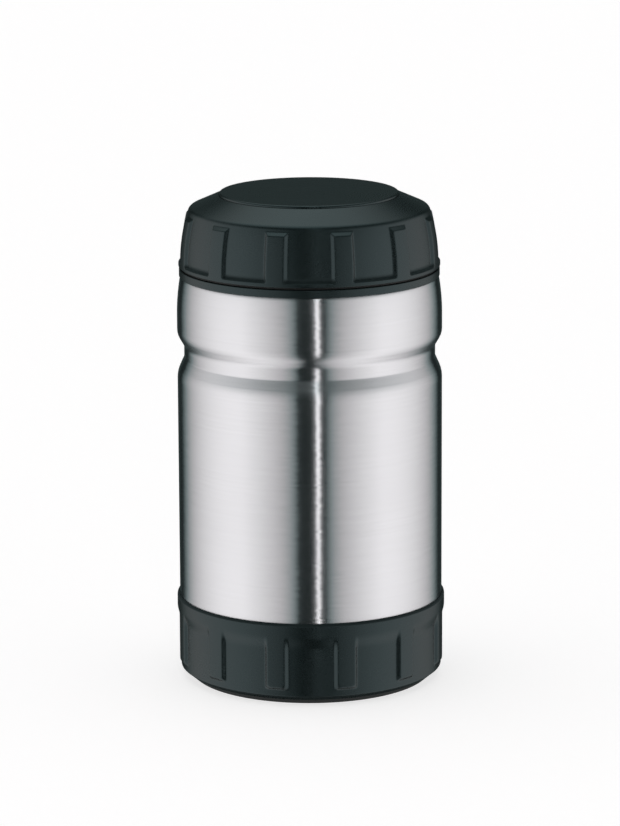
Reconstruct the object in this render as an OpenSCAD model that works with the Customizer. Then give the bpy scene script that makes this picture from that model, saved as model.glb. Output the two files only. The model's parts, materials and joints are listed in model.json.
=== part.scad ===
// Insulated food jar: a vacuum-walled steel jar with a plastic collar, an insulated screw
// stopper with a vacuum-release valve, and a screw lid that doubles as a bowl.
// Millimetres, +Z up. The origin is the centre of the foot ring's resting face.

/* [Body] */
// Outer diameter of the steel body
body_d = 108; // [90:1:130]
// Height of the top edge of the steel that shows, above the table
body_h = 166.9; // [135:1:200]
// Wall of the outer steel shell
shell_wall = 0.6; // [0.4:0.1:1]
// Wall of the inner steel vessel
vessel_wall = 0.5; // [0.4:0.1:0.8]
// Width of the vacuum between the shell and the vessel
vacuum_gap = 6.4; // [5.3:0.1:7.7]
// Radius of the vessel's bottom corner
vessel_corner = 12; // [6:1:20]
// Height over which the shell leans in below the collar
lean_h = 14.8; // [10:0.5:20]
// How far the shell leans in below the collar
lean_in = 1.2; // [0.5:0.1:2]

/* [Grip groove] */
// Depth of the groove round the body
groove_depth = 2.8; // [1:0.1:3.4]
// Distance from the body's top edge down to the groove's middle
groove_drop = 30.8; // [26:0.1:40]
// Height of the groove's flat floor
groove_floor_h = 5.1; // [2:0.1:8]
// Height of the groove's lower, gentler flank
groove_lower_h = 6.2; // [5:0.1:9]
// Height of the groove's upper, steeper flank
groove_upper_h = 4.8; // [4:0.1:8]

/* [Mouth] */
// Distance from the body's surface in to the mouth's edge
mouth_inset = 11.5; // [11:0.1:14]
// Width of the rolled steel lip
lip_w = 2.1; // [1.8:0.1:2.6]
// Height of the lip's top above the body's top edge
lip_h = 8.5; // [7.5:0.1:10.5]

/* [Collar] */
// Height of the collar's band that shows
band_h = 3.2; // [3:0.1:4.5]
// How far the collar's band stands out from the shell's top edge
band_proud = 0.2; // [0.1:0.05:0.5]
// Height of the collar's top above the body's top edge
collar_h = 20; // [18:0.5:24]

/* [Threads] */
// Rise of both threads in one turn
thread_lead = 15; // [12:0.5:18]
// Number of thread starts
thread_starts = 3; // [2:1:3]
// Depth of the thread between the lid and the collar
lid_thread_depth = 1.6; // [1.2:0.1:1.9]
// Depth of the thread between the stopper and the collar
stopper_thread_depth = 1.3; // [1:0.1:1.6]
// Width of a thread's ridge at its root
ridge_root_w = 2.4; // [1.8:0.1:2.6]
// Width of a thread's ridge at its crest
ridge_crest_w = 1.1; // [0.8:0.1:1.4]
// Radial clearance between a ridge's crest and the wall that it faces
thread_clearance = 0.4; // [0.3:0.05:0.5]

/* [Lid] */
// Head room between the stopper's button and the roof of the lid's bowl
head_room = 2; // [1:0.1:8]
// How far the lid's lower band stands out from the collar's band
lid_proud = 0.2; // [0.1:0.05:0.5]
// Height of the lid's lower band
lid_band_h = 1.4; // [1.2:0.1:2.4]
// Height of the bevel above the lid's lower band
lid_ledge_h = 0.9; // [0.8:0.1:2]
// Height of the lid's top above its crease
shoulder_h = 6.4; // [5.9:0.1:7.2]
// Distance from the lid's band in to its crease
crease_inset = 4.4; // [3.8:0.1:5]
// Width of the lid's conical shoulder, between its crease and its disc
shoulder_w = 11.9; // [8:0.1:16]
// Height of the disc above the shoulder
disc_step = 1.1; // [0.8:0.1:1.6]
// Thickness of the disc
disc_t = 2.7; // [2.2:0.1:3.2]
// Wall of the lid's outer shell
lid_wall = 1.5; // [1.2:0.1:1.8]
// Wall of the lid's inner bowl
liner_wall = 1.2; // [1:0.1:1.4]
// Air gap between the lid's two walls at its top
lid_air_gap = 1.2; // [0.8:0.1:1.6]
// Height of the dark gap between the lid and the collar
lid_gap = 0.9; // [0.5:0.1:1.2]

/* [Ribs] */
// Number of grip ribs round the lid, and round the base
rib_count = 12; // [8:1:16]
// Width of a rib at its root
rib_w = 9.8; // [7:0.1:12]
// Height of a rib above the wall that it stands on
rib_relief = 1.3; // [0.9:0.1:1.4]

/* [Base] */
// Height of the base cup's top edge
base_h = 34.6; // [30:0.1:42]
// How far the base cup's rim stands out from the body's surface
rim_out = 1.1; // [0.7:0.1:1.5]
// Height of the base cup's thicker rim
rim_h = 6.6; // [5:0.1:9]
// Wall of the base cup
base_wall = 2; // [1.7:0.1:2.2]
// Thickness of the base cup's floor
base_floor = 2; // [1.5:0.1:3]
// Height of the base cup's underside above the table
base_lift = 2; // [1.6:0.1:2.6]
// Radial width of the rubber foot ring
foot_w = 5.6; // [4:0.1:8]
// Depth of the groove that holds the foot ring
foot_grip = 1; // [0.5:0.1:1.2]

/* [Stopper] */
// Depth of the stopper's plug below the mouth's lip
plug_h = 16.5; // [12:0.5:20]
// Radial gap between the plug and the mouth
plug_gap = 0.9; // [0.6:0.1:1.2]
// Height of the plug's silicone seal
seal_h = 3.9; // [3:0.1:5]
// Wall of the stopper's barrel behind the seal
barrel_wall = 1.9; // [1.5:0.1:2.4]
// Thickness of the barrel's floor
barrel_floor = 2; // [1.5:0.1:3]
// Thickness of the stopper's flange
flange_t = 2.3; // [1.5:0.1:2.6]
// Height of the stopper's cover above its flange
cover_rise = 2; // [1:0.1:2.4]
// Width of the grip bar between the finger pockets
bar_w = 25; // [23:0.5:30]
// Depth of the finger pockets
pocket_depth = 7.4; // [5:0.1:9]
// Thickness of the cover below the finger pockets
pocket_floor = 2; // [1.2:0.1:3]

/* [Valve] */
// Diameter of the push button
button_d = 19.2; // [14:0.1:19.6]
// Height of the button above the stopper's cover
button_rise = 1.3; // [0.8:0.1:1.6]
// Travel of the button
valve_travel = 3; // [1.5:0.1:3.4]
// Diameter of the valve's stem
stem_d = 4; // [3:0.1:5]
// Diameter of the valve's gasket
valve_gasket_d = 14; // [11:0.1:18]
// Mean diameter of the spring's coils
spring_d = 8.6; // [8:0.1:9.4]
// Diameter of the spring's wire
wire_d = 0.9; // [0.6:0.1:1.1]
// Number of coils in the spring
spring_coils = 7; // [4:1:9]

/* [Hidden] */
$fn = 128;

steel = [0.76, 0.76, 0.77];
copper = [0.78, 0.45, 0.28];
black = [0.13, 0.15, 0.15];
charcoal = [0.24, 0.26, 0.27];
rubber_black = [0.06, 0.06, 0.06];
silicone = [0.80, 0.82, 0.80];
foam = [0.93, 0.91, 0.80];

fit = 0.1;            // gap between pieces that are pressed or glued together
slip = 0.05;          // gap between pieces that slide or seal on each other
bury = 0.4;           // how far a ridge or rib is sunk into the wall that carries it

// ---- body ----
body_r = body_d / 2;
mouth_r = body_r - mouth_inset;
neck_r = mouth_r + lip_w;                      // outside of the steel neck
vessel_r = body_r - shell_wall - vacuum_gap - vessel_wall;   // inside of the vessel
lip_z = body_h + lip_h;
lip_round = lip_w / 2;
shoulder_round = 4;                            // corner between the body and the neck
neck_round = 1;                                // corner at the foot of the neck
lean_radius = (lean_h * lean_h + lean_in * lean_in) / (2 * lean_in);
lean_angle = asin(lean_h / lean_radius);
lean_drop = 1.2;                               // the lean's end lies this far below the top edge
shoulder_c = [body_r - lean_in - shoulder_round * cos(lean_angle),
              body_h - lean_drop - shoulder_round * sin(lean_angle)];
neck_foot_z = shoulder_c[1] + shoulder_round;
lip_turndown = 1;                              // straight end of the rolled lip
weld_z = lip_z - lip_round - lip_turndown;     // where the lip meets the shell's neck
groove_z = body_h - groove_drop;

// ---- base ----
wall_inset = 0.25;                             // base cup's wall, inside the body's surface
base_wall_r = body_r - wall_inset;
swage_r = base_wall_r - base_wall - fit;       // the shell is drawn in to this inside the base cup
swage_h = body_r - swage_r;                    // its slope is 45 degrees
swage_z = base_h - swage_h - 1.6;              // lower end of the slope
base_floor_z = base_lift + base_floor;
shell_foot_z = base_floor_z + 1.2;             // lower edge of the shell
bottom_t = shell_wall;
bottom_z = shell_foot_z + 0.9;                 // underside of the steel bottom
bottom_skirt_h = 5;
dimple_r = 7;
dimple_h = 1.2;
vessel_z = bottom_z + bottom_t + 4.9;          // inside of the vessel's floor

// ---- collar ----
collar_top = body_h + collar_h;
band_r = body_r - lean_in + band_proud;
band_top = body_h + 0.2 + band_h;
stopper_crest_r = mouth_r - slip * 2 + stopper_thread_depth;
collar_bore_r = stopper_crest_r + thread_clearance;

// ---- heights from the collar's top up to the lid's top ----
flange_z = collar_top + fit;
cover_z = flange_z + flange_t;
cover_top = cover_z + cover_rise;
button_top = cover_top + button_rise;
bowl_roof_z = button_top + head_room;
shell_roof_z = bowl_roof_z + liner_wall + lid_air_gap;   // underside of the lid shell's top
disc_seat_z = shell_roof_z + lid_wall;
lid_top = disc_seat_z + disc_t;

// ---- lid: radii from the outside in ----
lid_z = band_top + lid_gap;
lid_band_r = band_r + lid_proud;
lid_wall_r = lid_band_r - rib_relief + slip;   // outside of the lid's wall, between its ribs
crease_r = lid_band_r - crease_inset;
crease_z = lid_top - shoulder_h;
wall_z = lid_z + lid_band_h + lid_ledge_h;     // where the lid's plain wall begins
wall_h = crease_z - wall_z;
wall_in = lid_wall_r - crease_r;
wall_radius = (wall_h * wall_h + wall_in * wall_in) / (2 * wall_in);
cone_top = lid_top - disc_step;
cone_head_r = crease_r - shoulder_w;
disc_r = cone_head_r - 0.5;
lid_inner_r = lid_wall_r - lid_wall;
// inside of the bowl at its thread: the shell's wall leans in, so it is fitted at the collar's top
lid_bore_r = lid_wall_r - wall_radius - liner_wall - 0.2
    + sqrt(pow(wall_radius - lid_wall, 2) - pow(collar_top - 1 - wall_z, 2));
lid_crest_r = lid_bore_r - lid_thread_depth;
collar_root_r = lid_crest_r - thread_clearance;

// ---- stopper ----
barrel_r = mouth_r - slip * 2;                 // root of the stopper's thread
plug_r = mouth_r - plug_gap;
plug_z = lip_z - plug_h;
seal_z = lip_z - 7;                            // lower edge of the seal
seal_r = mouth_r - 0.08;                       // the seal touches the steel lightly
seal_root_r = plug_r - 1.7;
cavity_r = seal_root_r - barrel_wall;
flange_r = lid_crest_r - 1.3;                  // passes inside the lid's thread
pocket_z = cover_top - pocket_depth;
chimney_bore = spring_d / 2 + wire_d / 2 + 0.6;
chimney_r = chimney_bore + 1.8;
spring_seat_z = plug_z + barrel_floor + 2;

// ---- valve ----
button_r = button_d / 2;
button_bore = button_r + 0.3;
button_skirt = button_rise + valve_travel + 2.2;
button_z = button_top - button_skirt;
button_floor_z = button_z - valve_travel - 0.4;          // floor of the button's well
spigot_z = min(pocket_z - pocket_floor, button_floor_z - 1);
guide_r = stem_d / 2 + 0.5;                    // air passes between the stem and its guide
valve_gasket_t = 1.5;
nut_t = 1.4;

// ---- threads ----
thread_pitch = thread_lead / thread_starts;
ridge_step = 7.5;
ridge_fade = 15;                               // turn over which a ridge grows to its full depth
first_ridge = 11;                              // angle at which the first ridge starts
collar_ridge_z = band_top + 3.4;               // lowest point of the ridges, at their middle
collar_ridge_top = collar_top - 3.6;
bore_ridge_z = lip_z + 2.1;
bore_ridge_top = collar_top - 1.9;
lid_ridge_turn = 90;
function turn_over(z0, z1) = 360 * (z1 - z0) / thread_lead;

// Points on an arc, from angle a to angle b
function arc(c, r, a, b, n = 8) =
    [for (i = [0:n]) c + r * [cos(a + (b - a) * i / n), sin(a + (b - a) * i / n)]];

// Unit normal to the right of the line from p to q
function right_of(p, q) = let (d = q - p) [d[1], -d[0]] / norm(d);

// Normals of a path at point i, mitred between its two neighbours
function mitre(path, i) = let (
    last = len(path) - 1,
    u = right_of(path[max(i - 1, 0)], path[max(i, 1)]),
    v = right_of(path[min(i, last - 1)], path[min(i + 1, last)])
) (u + v) / (1 + u * v);

// A sheet of thickness t on the right of a path, as an outline; negative t is on its left
function sheet(path, t) = concat(
    path,
    [for (i = [len(path) - 1:-1:0]) path[i] + t * mitre(path, i)]
);

// The corner b between a and c, rounded with radius r
function rounded(a, b, c, r, n = 4) = let (
    u = (a - b) / norm(a - b), v = (c - b) / norm(c - b),
    half = acos(u * v) / 2,
    centre = b + (u + v) / norm(u + v) * r / sin(half),
    p = b + u * r / tan(half) - centre, q = b + v * r / tan(half) - centre,
    start = atan2(p[1], p[0]), swing = atan2(q[1], q[0]) - start,
    turn = swing > 180 ? swing - 360 : swing < -180 ? swing + 360 : swing
) arc(centre, r, start, start + turn, n);

module lathe(outline) rotate_extrude(convexity = 8) polygon(outline);

module ring(r_in, r_out, z, h) translate([0, 0, z]) difference() {
    cylinder(r = r_out, h = h);
    translate([0, 0, -1]) cylinder(r = r_in, h = h + 2);
}

// One helical thread ridge. A positive depth stands out of a shaft, a negative one into a bore.
module ridge(root_r, depth, z, turn) {
    steps = ceil(turn / ridge_step);
    side = sign(depth);
    section = function (i) let (
        a = turn * i / steps,
        grown = max(0.04, min(1, a / ridge_fade, (turn - a) / ridge_fade)),
        rise = z + thread_lead * a / 360,
        crest_half = ridge_crest_w / 2,
        root_half = ridge_root_w / 2 + bury * (ridge_root_w - ridge_crest_w) / 2 / abs(depth)
    ) [for (p = [[-side * bury, -root_half], [depth * grown, -crest_half],
                 [depth * grown, crest_half], [-side * bury, root_half]])
        [(root_r + p[0]) * cos(a), (root_r + p[0]) * sin(a), rise + p[1]]];
    points = [for (i = [0:steps]) each section(i)];
    flip = side < 0;
    function turned(f) = flip ? [f[2], f[1], f[0]] : f;
    faces = concat(
        [for (i = [0:steps - 1], k = [0:3]) let (
            p = 4 * i + k, q = 4 * i + (k + 1) % 4)
            each [turned([p, q, p + 4]), turned([q, q + 4, p + 4])]],
        [for (f = [[0, 2, 1], [0, 3, 2]]) turned(f)],
        [for (f = [[0, 1, 2], [0, 2, 3]]) turned([for (k = f) 4 * steps + k])]
    );
    polyhedron(points, faces, convexity = 6);
}

module thread(root_r, depth, z, turn) for (k = [0:thread_starts - 1])
    rotate(first_ridge + k * 360 / thread_starts) ridge(root_r, depth, z, turn);

// Plan outline of a rib: 45 degree flanks from a wall at radius 0 to its face
module rib_plan(relief) polygon([
    [-rib_w / 2 - bury, -bury], [-rib_w / 2 + relief, relief], [-rib_w / 2 + relief, relief + 1],
    [rib_w / 2 - relief, relief + 1], [rib_w / 2 - relief, relief], [rib_w / 2 + bury, -bury],
]);

// The ribs: upright bars round the axis, leaning in by lean degrees, kept inside the outline
module ribs(wall_r, relief, z, h, lean, outline) intersection() {
    lathe(outline);
    for (k = [0:rib_count - 1]) rotate((k + 0.5) * 360 / rib_count)
        translate([0, wall_r, z]) rotate([lean, 0, 0])
            translate([0, 0, -2]) linear_extrude(h + 4) rib_plan(relief);
}

// ---- the jar's fixed pieces ----
shell_path = concat(
    [[swage_r, shell_foot_z], [swage_r, swage_z], [body_r, swage_z + swage_h]],
    groove_side(-1, groove_lower_h, 10.7, 1.5), groove_side(1, groove_upper_h, 6.2, 3),
    arc([body_r - lean_radius, body_h - lean_drop - lean_h], lean_radius, 0, lean_angle, 6),
    arc(shoulder_c, shoulder_round, lean_angle + 9, 90, 8),
    arc([neck_r + neck_round, neck_foot_z + neck_round], neck_round, 270, 180, 4),
    [[neck_r, weld_z]]
);

// The groove's flank below (side -1) or above (side 1) its floor: a cone with its two corners rounded
function groove_side(side, h, brow_round, root_round) = let (
    floor_z = groove_z + side * groove_floor_h / 2,
    brow = [body_r, floor_z + side * h],
    root = [body_r - groove_depth, floor_z],
    path = concat(
        rounded([body_r - groove_depth, groove_z], root, brow, root_round),
        rounded(root, brow, brow + [0, side], brow_round, 6)
    )
) side > 0 ? path : [for (i = [len(path) - 1:-1:0]) path[i]];

module outer_shell() color(steel) lathe(sheet(shell_path, -shell_wall));

module outer_bottom() color(steel) lathe([
    [0, bottom_z + dimple_h], [dimple_r, bottom_z + dimple_h], [dimple_r + dimple_h, bottom_z],
    [swage_r - shell_wall - bottom_t, bottom_z], [swage_r - shell_wall - bottom_t, shell_foot_z],
    [swage_r - shell_wall, shell_foot_z], [swage_r - shell_wall, shell_foot_z + bottom_skirt_h],
    [swage_r - shell_wall - bottom_t, shell_foot_z + bottom_skirt_h],
    [swage_r - shell_wall - bottom_t, bottom_z + bottom_t],
    [dimple_r + dimple_h, bottom_z + bottom_t], [dimple_r, bottom_z + dimple_h + bottom_t],
    [0, bottom_z + dimple_h + bottom_t],
]);

vessel_path = concat(
    [[0, vessel_z]],
    arc([vessel_r - vessel_corner, vessel_z + vessel_corner], vessel_corner, 270, 360, 8),
    [[vessel_r, body_h - 9], [mouth_r, body_h - 1]],
    arc([mouth_r + lip_round, lip_z - lip_round], lip_round, 180, 0, 8),
    [[neck_r, weld_z]]
);

module inner_vessel() color(steel) lathe(sheet(vessel_path, vessel_wall));

foil_t = 0.1;
getter_offset = 22;

module copper_foil() color(copper)
    ring(vessel_r + vessel_wall + slip, vessel_r + vessel_wall + slip + foil_t,
         vessel_z + vessel_corner, body_h - 12 - vessel_z - vessel_corner);

module getter() color(steel) translate([getter_offset, 0, bottom_z + bottom_t])
    cylinder(r = 6, h = 2);

module vacuum_seal() color([0.5, 0.5, 0.52]) translate([0, 0, bottom_z + dimple_h - 0.8])
    cylinder(r = 3, h = 0.8);

module neck_collar() color(black) {
    edge = 0.5;
    lip = 0.3;
    seat = shoulder_round + fit;
    lathe(concat(
        [[collar_bore_r, collar_top], [collar_bore_r, lip_z + fit], [neck_r + fit, lip_z + fit]],
        arc([neck_r + neck_round, neck_foot_z + neck_round], neck_round - fit, 180, 270, 4),
        arc(shoulder_c, seat, 90, asin((body_h + 0.2 - shoulder_c[1]) / seat), 8),
        [[band_r - lip, body_h + 0.2], [band_r, body_h + 0.2 + lip]],
        [[band_r, band_top - lip], [band_r - lip, band_top]],
        [[collar_root_r, band_top], [collar_root_r, collar_top - edge]],
        [[collar_root_r - edge, collar_top]]
    ));
    thread(collar_root_r, lid_thread_depth, collar_ridge_z,
           turn_over(collar_ridge_z, collar_ridge_top));
    thread(collar_bore_r, -stopper_thread_depth, bore_ridge_z,
           turn_over(bore_ridge_z, bore_ridge_top));
}

module base_cup() color(black) {
    ledge_w = 2.6;
    rim_r = body_r + rim_out;
    bevel_h = 2;
    rim_z = base_h - rim_h + 0.2;              // top of the bevel under the rim
    foot_out = foot_r - foot_w;
    difference() {
        union() {
            lathe(concat(
                [[0, base_lift], [foot_r, base_lift], [base_wall_r - 0.9, base_lift + 1.8]],
                [[base_wall_r, base_lift + 2.1]],
                [[base_wall_r, rim_z - bevel_h], [rim_r, rim_z]],
                arc([rim_r - 0.6, base_h - 0.6], 0.6, 0, 90, 4),
                [[body_r + slip, base_h], [body_r + slip, swage_z + swage_h - fit]],
                [[swage_r + fit, swage_z - fit], [swage_r + fit, shell_foot_z]],
                [[swage_r - ledge_w, shell_foot_z], [swage_r - ledge_w, base_floor_z]],
                [[0, base_floor_z]]
            ));
            ribs(base_wall_r, rim_out + wall_inset, base_lift, rim_z, 0, [
                [base_wall_r - bury, base_lift + 4.6], [base_wall_r, base_lift + 4.6],
                [rim_r, base_lift + 5.8], [rim_r, rim_z], [base_wall_r - bury, rim_z]]);
        }
        ring(foot_out, foot_r, base_lift - 1, foot_grip + 1);
    }
}

foot_r = base_wall_r - 2.75;
foot_slope = 2.3;

module foot_ring() color(rubber_black) {
    edge = 0.6;
    inner = foot_r - foot_w + fit / 2;
    outer = foot_r - fit / 2;
    top = base_lift + foot_grip;
    lathe([[inner, top], [inner, edge], [inner + edge, 0], [outer - foot_slope, 0],
           [outer, base_lift], [outer, top]]);
}

// ---- the stopper ----
module stopper_seal() color(silicone) {
    lip_t = 0.9;
    body_out = (seal_root_r + seal_r) / 2 + 0.2;
    z0 = seal_z + slip;
    z1 = seal_z + seal_h - slip;
    lathe([[seal_root_r + slip, z0], [body_out, z0], [seal_r, z0 + 0.5],
           [seal_r, z0 + 0.5 + lip_t / 2], [body_out, z0 + 0.5 + lip_t],
           [body_out, z1 - 0.5 - lip_t], [seal_r, z1 - 0.5 - lip_t / 2],
           [seal_r, z1 - 0.5], [body_out, z1], [seal_root_r + slip, z1]]);
}

module stopper_barrel() color(charcoal) difference() {
    union() {
        lathe([[guide_r, plug_z], [plug_r - 1, plug_z], [plug_r, plug_z + 1],
               [plug_r, seal_z], [seal_root_r, seal_z], [seal_root_r, seal_z + seal_h],
               [plug_r, seal_z + seal_h], [plug_r, lip_z + 0.3], [barrel_r, lip_z + 0.6],
               [barrel_r, flange_z], [flange_r, flange_z], [flange_r, cover_z],
               [cavity_r, cover_z], [cavity_r, plug_z + barrel_floor],
               [chimney_r, plug_z + barrel_floor], [chimney_r, spigot_z],
               [chimney_bore, spigot_z], [chimney_bore, spring_seat_z],
               [guide_r, spring_seat_z]]);
        thread(barrel_r, stopper_thread_depth, bore_ridge_z + thread_pitch / 2,
               turn_over(bore_ridge_z + thread_pitch / 2, bore_ridge_top));
    }
    notch_r = 1.6;
    for (k = [0:23]) rotate(k * 15) translate([flange_r + notch_r * 0.6, 0, flange_z - 1])
        cylinder(r = notch_r, h = flange_t + 2, $fn = 32);
}

module stopper_cover() color(charcoal) {
    cover_r = flange_r - 1.9;
    edge = 0.8;
    pocket_r = cavity_r - 1.8;
    difference() {
        lathe([[0, spigot_z], [cavity_r - fit, spigot_z], [cavity_r - fit, cover_z],
               [cover_r, cover_z], [cover_r, cover_top - edge], [cover_r - edge, cover_top],
               [0, cover_top]]);
        translate([0, 0, pocket_z]) difference() {
            cylinder(r = pocket_r, h = pocket_depth + 1);
            translate([-bar_w / 2, -body_r, -1]) cube([bar_w, body_d, pocket_depth + 3]);
        }
        translate([0, 0, button_floor_z]) cylinder(r = button_bore, h = cover_top);
        translate([0, 0, spigot_z - 1]) cylinder(r = chimney_bore, h = 20);
    }
}

module stopper_foam() color(foam)
    ring(chimney_r + fit, cavity_r - fit, plug_z + barrel_floor + fit,
         spigot_z - plug_z - barrel_floor - 2 * fit);

module valve_spring() color([0.7, 0.7, 0.72]) {
    sides = 8;
    per_turn = 16;
    z0 = spring_seat_z + wire_d / 2 + slip;
    z1 = button_z - wire_d / 2 - slip;
    steps = spring_coils * per_turn;
    points = [for (i = [0:steps], k = [0:sides - 1]) let (
        a = 360 * i / per_turn, b = 360 * k / sides,
        r = spring_d / 2 + wire_d / 2 * cos(b))
        [r * cos(a), r * sin(a), z0 + (z1 - z0) * i / steps + wire_d / 2 * sin(b)]];
    faces = concat(
        [for (i = [0:steps - 1], k = [0:sides - 1]) let (
            p = sides * i + k, q = sides * i + (k + 1) % sides)
            each [[p, p + sides, q], [q, p + sides, q + sides]]],
        [[for (k = [0:sides - 1]) k], [for (k = [sides - 1:-1:0]) sides * steps + k]]
    );
    polyhedron(points, faces, convexity = 8);
}

module valve_button() color([0.55, 0.57, 0.58]) lathe([
    [0, button_z], [button_r, button_z], [button_r, button_top - 0.8],
    [button_r - 0.8, button_top], [0, button_top]]);

module valve_stem() color(charcoal) translate([0, 0, plug_z - valve_gasket_t - slip])
    cylinder(d = stem_d, h = button_z - plug_z + valve_gasket_t + slip);

module valve_gasket() color(silicone)
    ring(stem_d / 2, valve_gasket_d / 2, plug_z - slip - valve_gasket_t, valve_gasket_t);

module valve_nut() color(charcoal) translate([0, 0, plug_z - slip - valve_gasket_t - nut_t])
    cylinder(d = valve_gasket_d - 3, h = nut_t);

// ---- the lid ----
gasket_groove = 0.9;
gasket_in = lid_inner_r + 0.5;
gasket_out = lid_band_r - 1.1;

module lid_gasket() color(rubber_black)
    ring(gasket_in + slip, gasket_out - slip, band_top + slip,
         lid_gap + gasket_groove - 2 * slip);

// The lid's plain wall and its cone, moved in by t: the wall's arc from its foot to the crease,
// then the point where the cone reaches height z
cone_foot = [crease_r, crease_z];
cone_head = [cone_head_r, cone_top];
cone_in = -right_of(cone_foot, cone_head);     // normal that points into the lid
wall_tilt = asin(wall_h / wall_radius);
crease_in = let (u = [-cos(wall_tilt), -sin(wall_tilt)]) (u + cone_in) / (1 + u * cone_in);
function lid_wall_arc(t) = [for (i = [0:7])
    arc([lid_wall_r - wall_radius, wall_z], wall_radius - t, 0, wall_tilt, 8)[i]];
function cone_at(t, z) = let (p = cone_foot + t * crease_in, d = cone_head - cone_foot)
    [p[0] + (z - p[1]) * d[0] / d[1], z];

module lid_shell() color(black) {
    edge = 0.4;
    rib_top = crease_z - 2.1;
    rib_lean = atan(wall_in * 0.8 / wall_h);
    crease_round = 2.5;
    rib_arc = [for (p = lid_wall_arc(-rib_relief)) if (p[1] < rib_top - rib_relief) p];
    difference() {
        union() {
            lathe(concat(
                [[lid_inner_r, lid_z], [lid_band_r - edge, lid_z], [lid_band_r, lid_z + edge]],
                [[lid_band_r, lid_z + lid_band_h]],
                lid_wall_arc(0),
                rounded(lid_wall_arc(0)[7], cone_foot, cone_head, crease_round),
                [cone_head, [disc_r + slip, cone_top]],
                [[disc_r + slip, disc_seat_z], [0, disc_seat_z], [0, shell_roof_z]],
                [cone_at(lid_wall, shell_roof_z), cone_foot + lid_wall * crease_in],
                [for (i = [7:-1:0]) lid_wall_arc(lid_wall)[i]]
            ));
            ribs(lid_wall_r, rib_relief, wall_z, wall_h, rib_lean, concat(
                [[lid_wall_r - bury, lid_z + lid_band_h], [lid_band_r, lid_z + lid_band_h]],
                rib_arc,
                [[lid_wall_arc(0)[7][0] + 0.3, rib_top], [crease_r - bury, rib_top]]
            ));
        }
        ring(gasket_in, gasket_out, lid_z - 1, gasket_groove + 1);
    }
}

module lid_liner() color(charcoal) {
    t = lid_wall + lid_air_gap / 2 + liner_wall;
    start_z = lid_z + 0.3;
    bend_z = collar_top - 0.5;
    crease = cone_foot + t * crease_in;
    top = cone_at(t, bowl_roof_z);
    wall = lid_wall_arc(t);
    high = [for (i = [0:6]) if (wall[i][1] > bend_z + 1 && wall[i][0] < lid_bore_r) wall[i]];
    lathe(sheet(concat(
        [[lid_bore_r, start_z], [lid_bore_r, bend_z]],
        high,
        rounded(high[len(high) - 1], crease, top, 2),
        rounded(crease, top, [0, bowl_roof_z], 3),
        [[0, bowl_roof_z]]
    ), liner_wall));
    ring(lid_bore_r + liner_wall / 2, lid_inner_r, start_z, lid_band_h + lid_ledge_h - 0.3);
    thread(lid_bore_r, -lid_thread_depth, collar_ridge_z + thread_pitch / 2, lid_ridge_turn);
}

module lid_disc() color(black) lathe(concat(
    [[0, disc_seat_z], [disc_r, disc_seat_z]],
    arc([disc_r - 0.8, lid_top - 0.8], 0.8, 0, 90, 5),
    [[0, lid_top]]
));

outer_shell();
outer_bottom();
inner_vessel();
copper_foil();
getter();
vacuum_seal();
neck_collar();
base_cup();
foot_ring();
stopper_seal();
stopper_barrel();
stopper_cover();
stopper_foam();
valve_spring();
valve_button();
valve_stem();
valve_gasket();
valve_nut();
lid_gasket();
lid_shell();
lid_liner();
lid_disc();
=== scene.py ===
# %% [markdown]
# # An insulated food jar
# A vacuum-walled steel jar stands in a ribbed plastic base. A plastic collar carries two threads,
# one for the insulated stopper and one for the ribbed lid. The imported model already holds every
# piece at its real size. Here each visible piece gets a finer mesh in the same place, and a finish.

# %% Load the frame
import json
import math

import bmesh
import bpy
from mathutils import Matrix, Vector


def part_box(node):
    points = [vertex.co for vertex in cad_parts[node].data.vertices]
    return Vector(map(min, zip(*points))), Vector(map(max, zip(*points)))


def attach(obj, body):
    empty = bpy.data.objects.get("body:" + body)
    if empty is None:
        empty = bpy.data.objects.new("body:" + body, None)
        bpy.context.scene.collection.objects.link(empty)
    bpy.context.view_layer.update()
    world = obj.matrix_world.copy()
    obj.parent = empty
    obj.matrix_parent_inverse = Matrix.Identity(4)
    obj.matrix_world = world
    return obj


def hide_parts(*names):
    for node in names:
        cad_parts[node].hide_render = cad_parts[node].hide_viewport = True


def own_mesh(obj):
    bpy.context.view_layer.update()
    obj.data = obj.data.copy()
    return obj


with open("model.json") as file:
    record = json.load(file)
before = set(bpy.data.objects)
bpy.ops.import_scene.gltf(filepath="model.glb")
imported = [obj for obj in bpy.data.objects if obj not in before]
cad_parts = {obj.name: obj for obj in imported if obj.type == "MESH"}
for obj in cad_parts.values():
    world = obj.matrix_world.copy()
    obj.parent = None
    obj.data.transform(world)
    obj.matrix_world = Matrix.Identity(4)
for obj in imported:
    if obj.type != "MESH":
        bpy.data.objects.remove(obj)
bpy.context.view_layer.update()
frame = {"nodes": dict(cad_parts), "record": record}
MM = 0.001


def ready(*helpers):
    """Prints the names of the helpers that a cell has just defined."""
    print("ready:", ", ".join(helper.__name__ for helper in helpers))

# %% [markdown]
# ## Sizes
# Almost every piece is round, so its shape is one outline of (radius, height) points. The outer
# sizes are read from the frame. The others are the few that the outlines need, in millimetres.

# %% Read radii and heights from the frame
def radius_of(node):
    """Outer radius of a round CAD node, in mm."""
    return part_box(node)[1].x / MM


def foot_of(node):
    """Lowest height of a CAD node, in mm."""
    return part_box(node)[0].z / MM


def top_of(node):
    """Highest height of a CAD node, in mm."""
    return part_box(node)[1].z / MM


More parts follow.
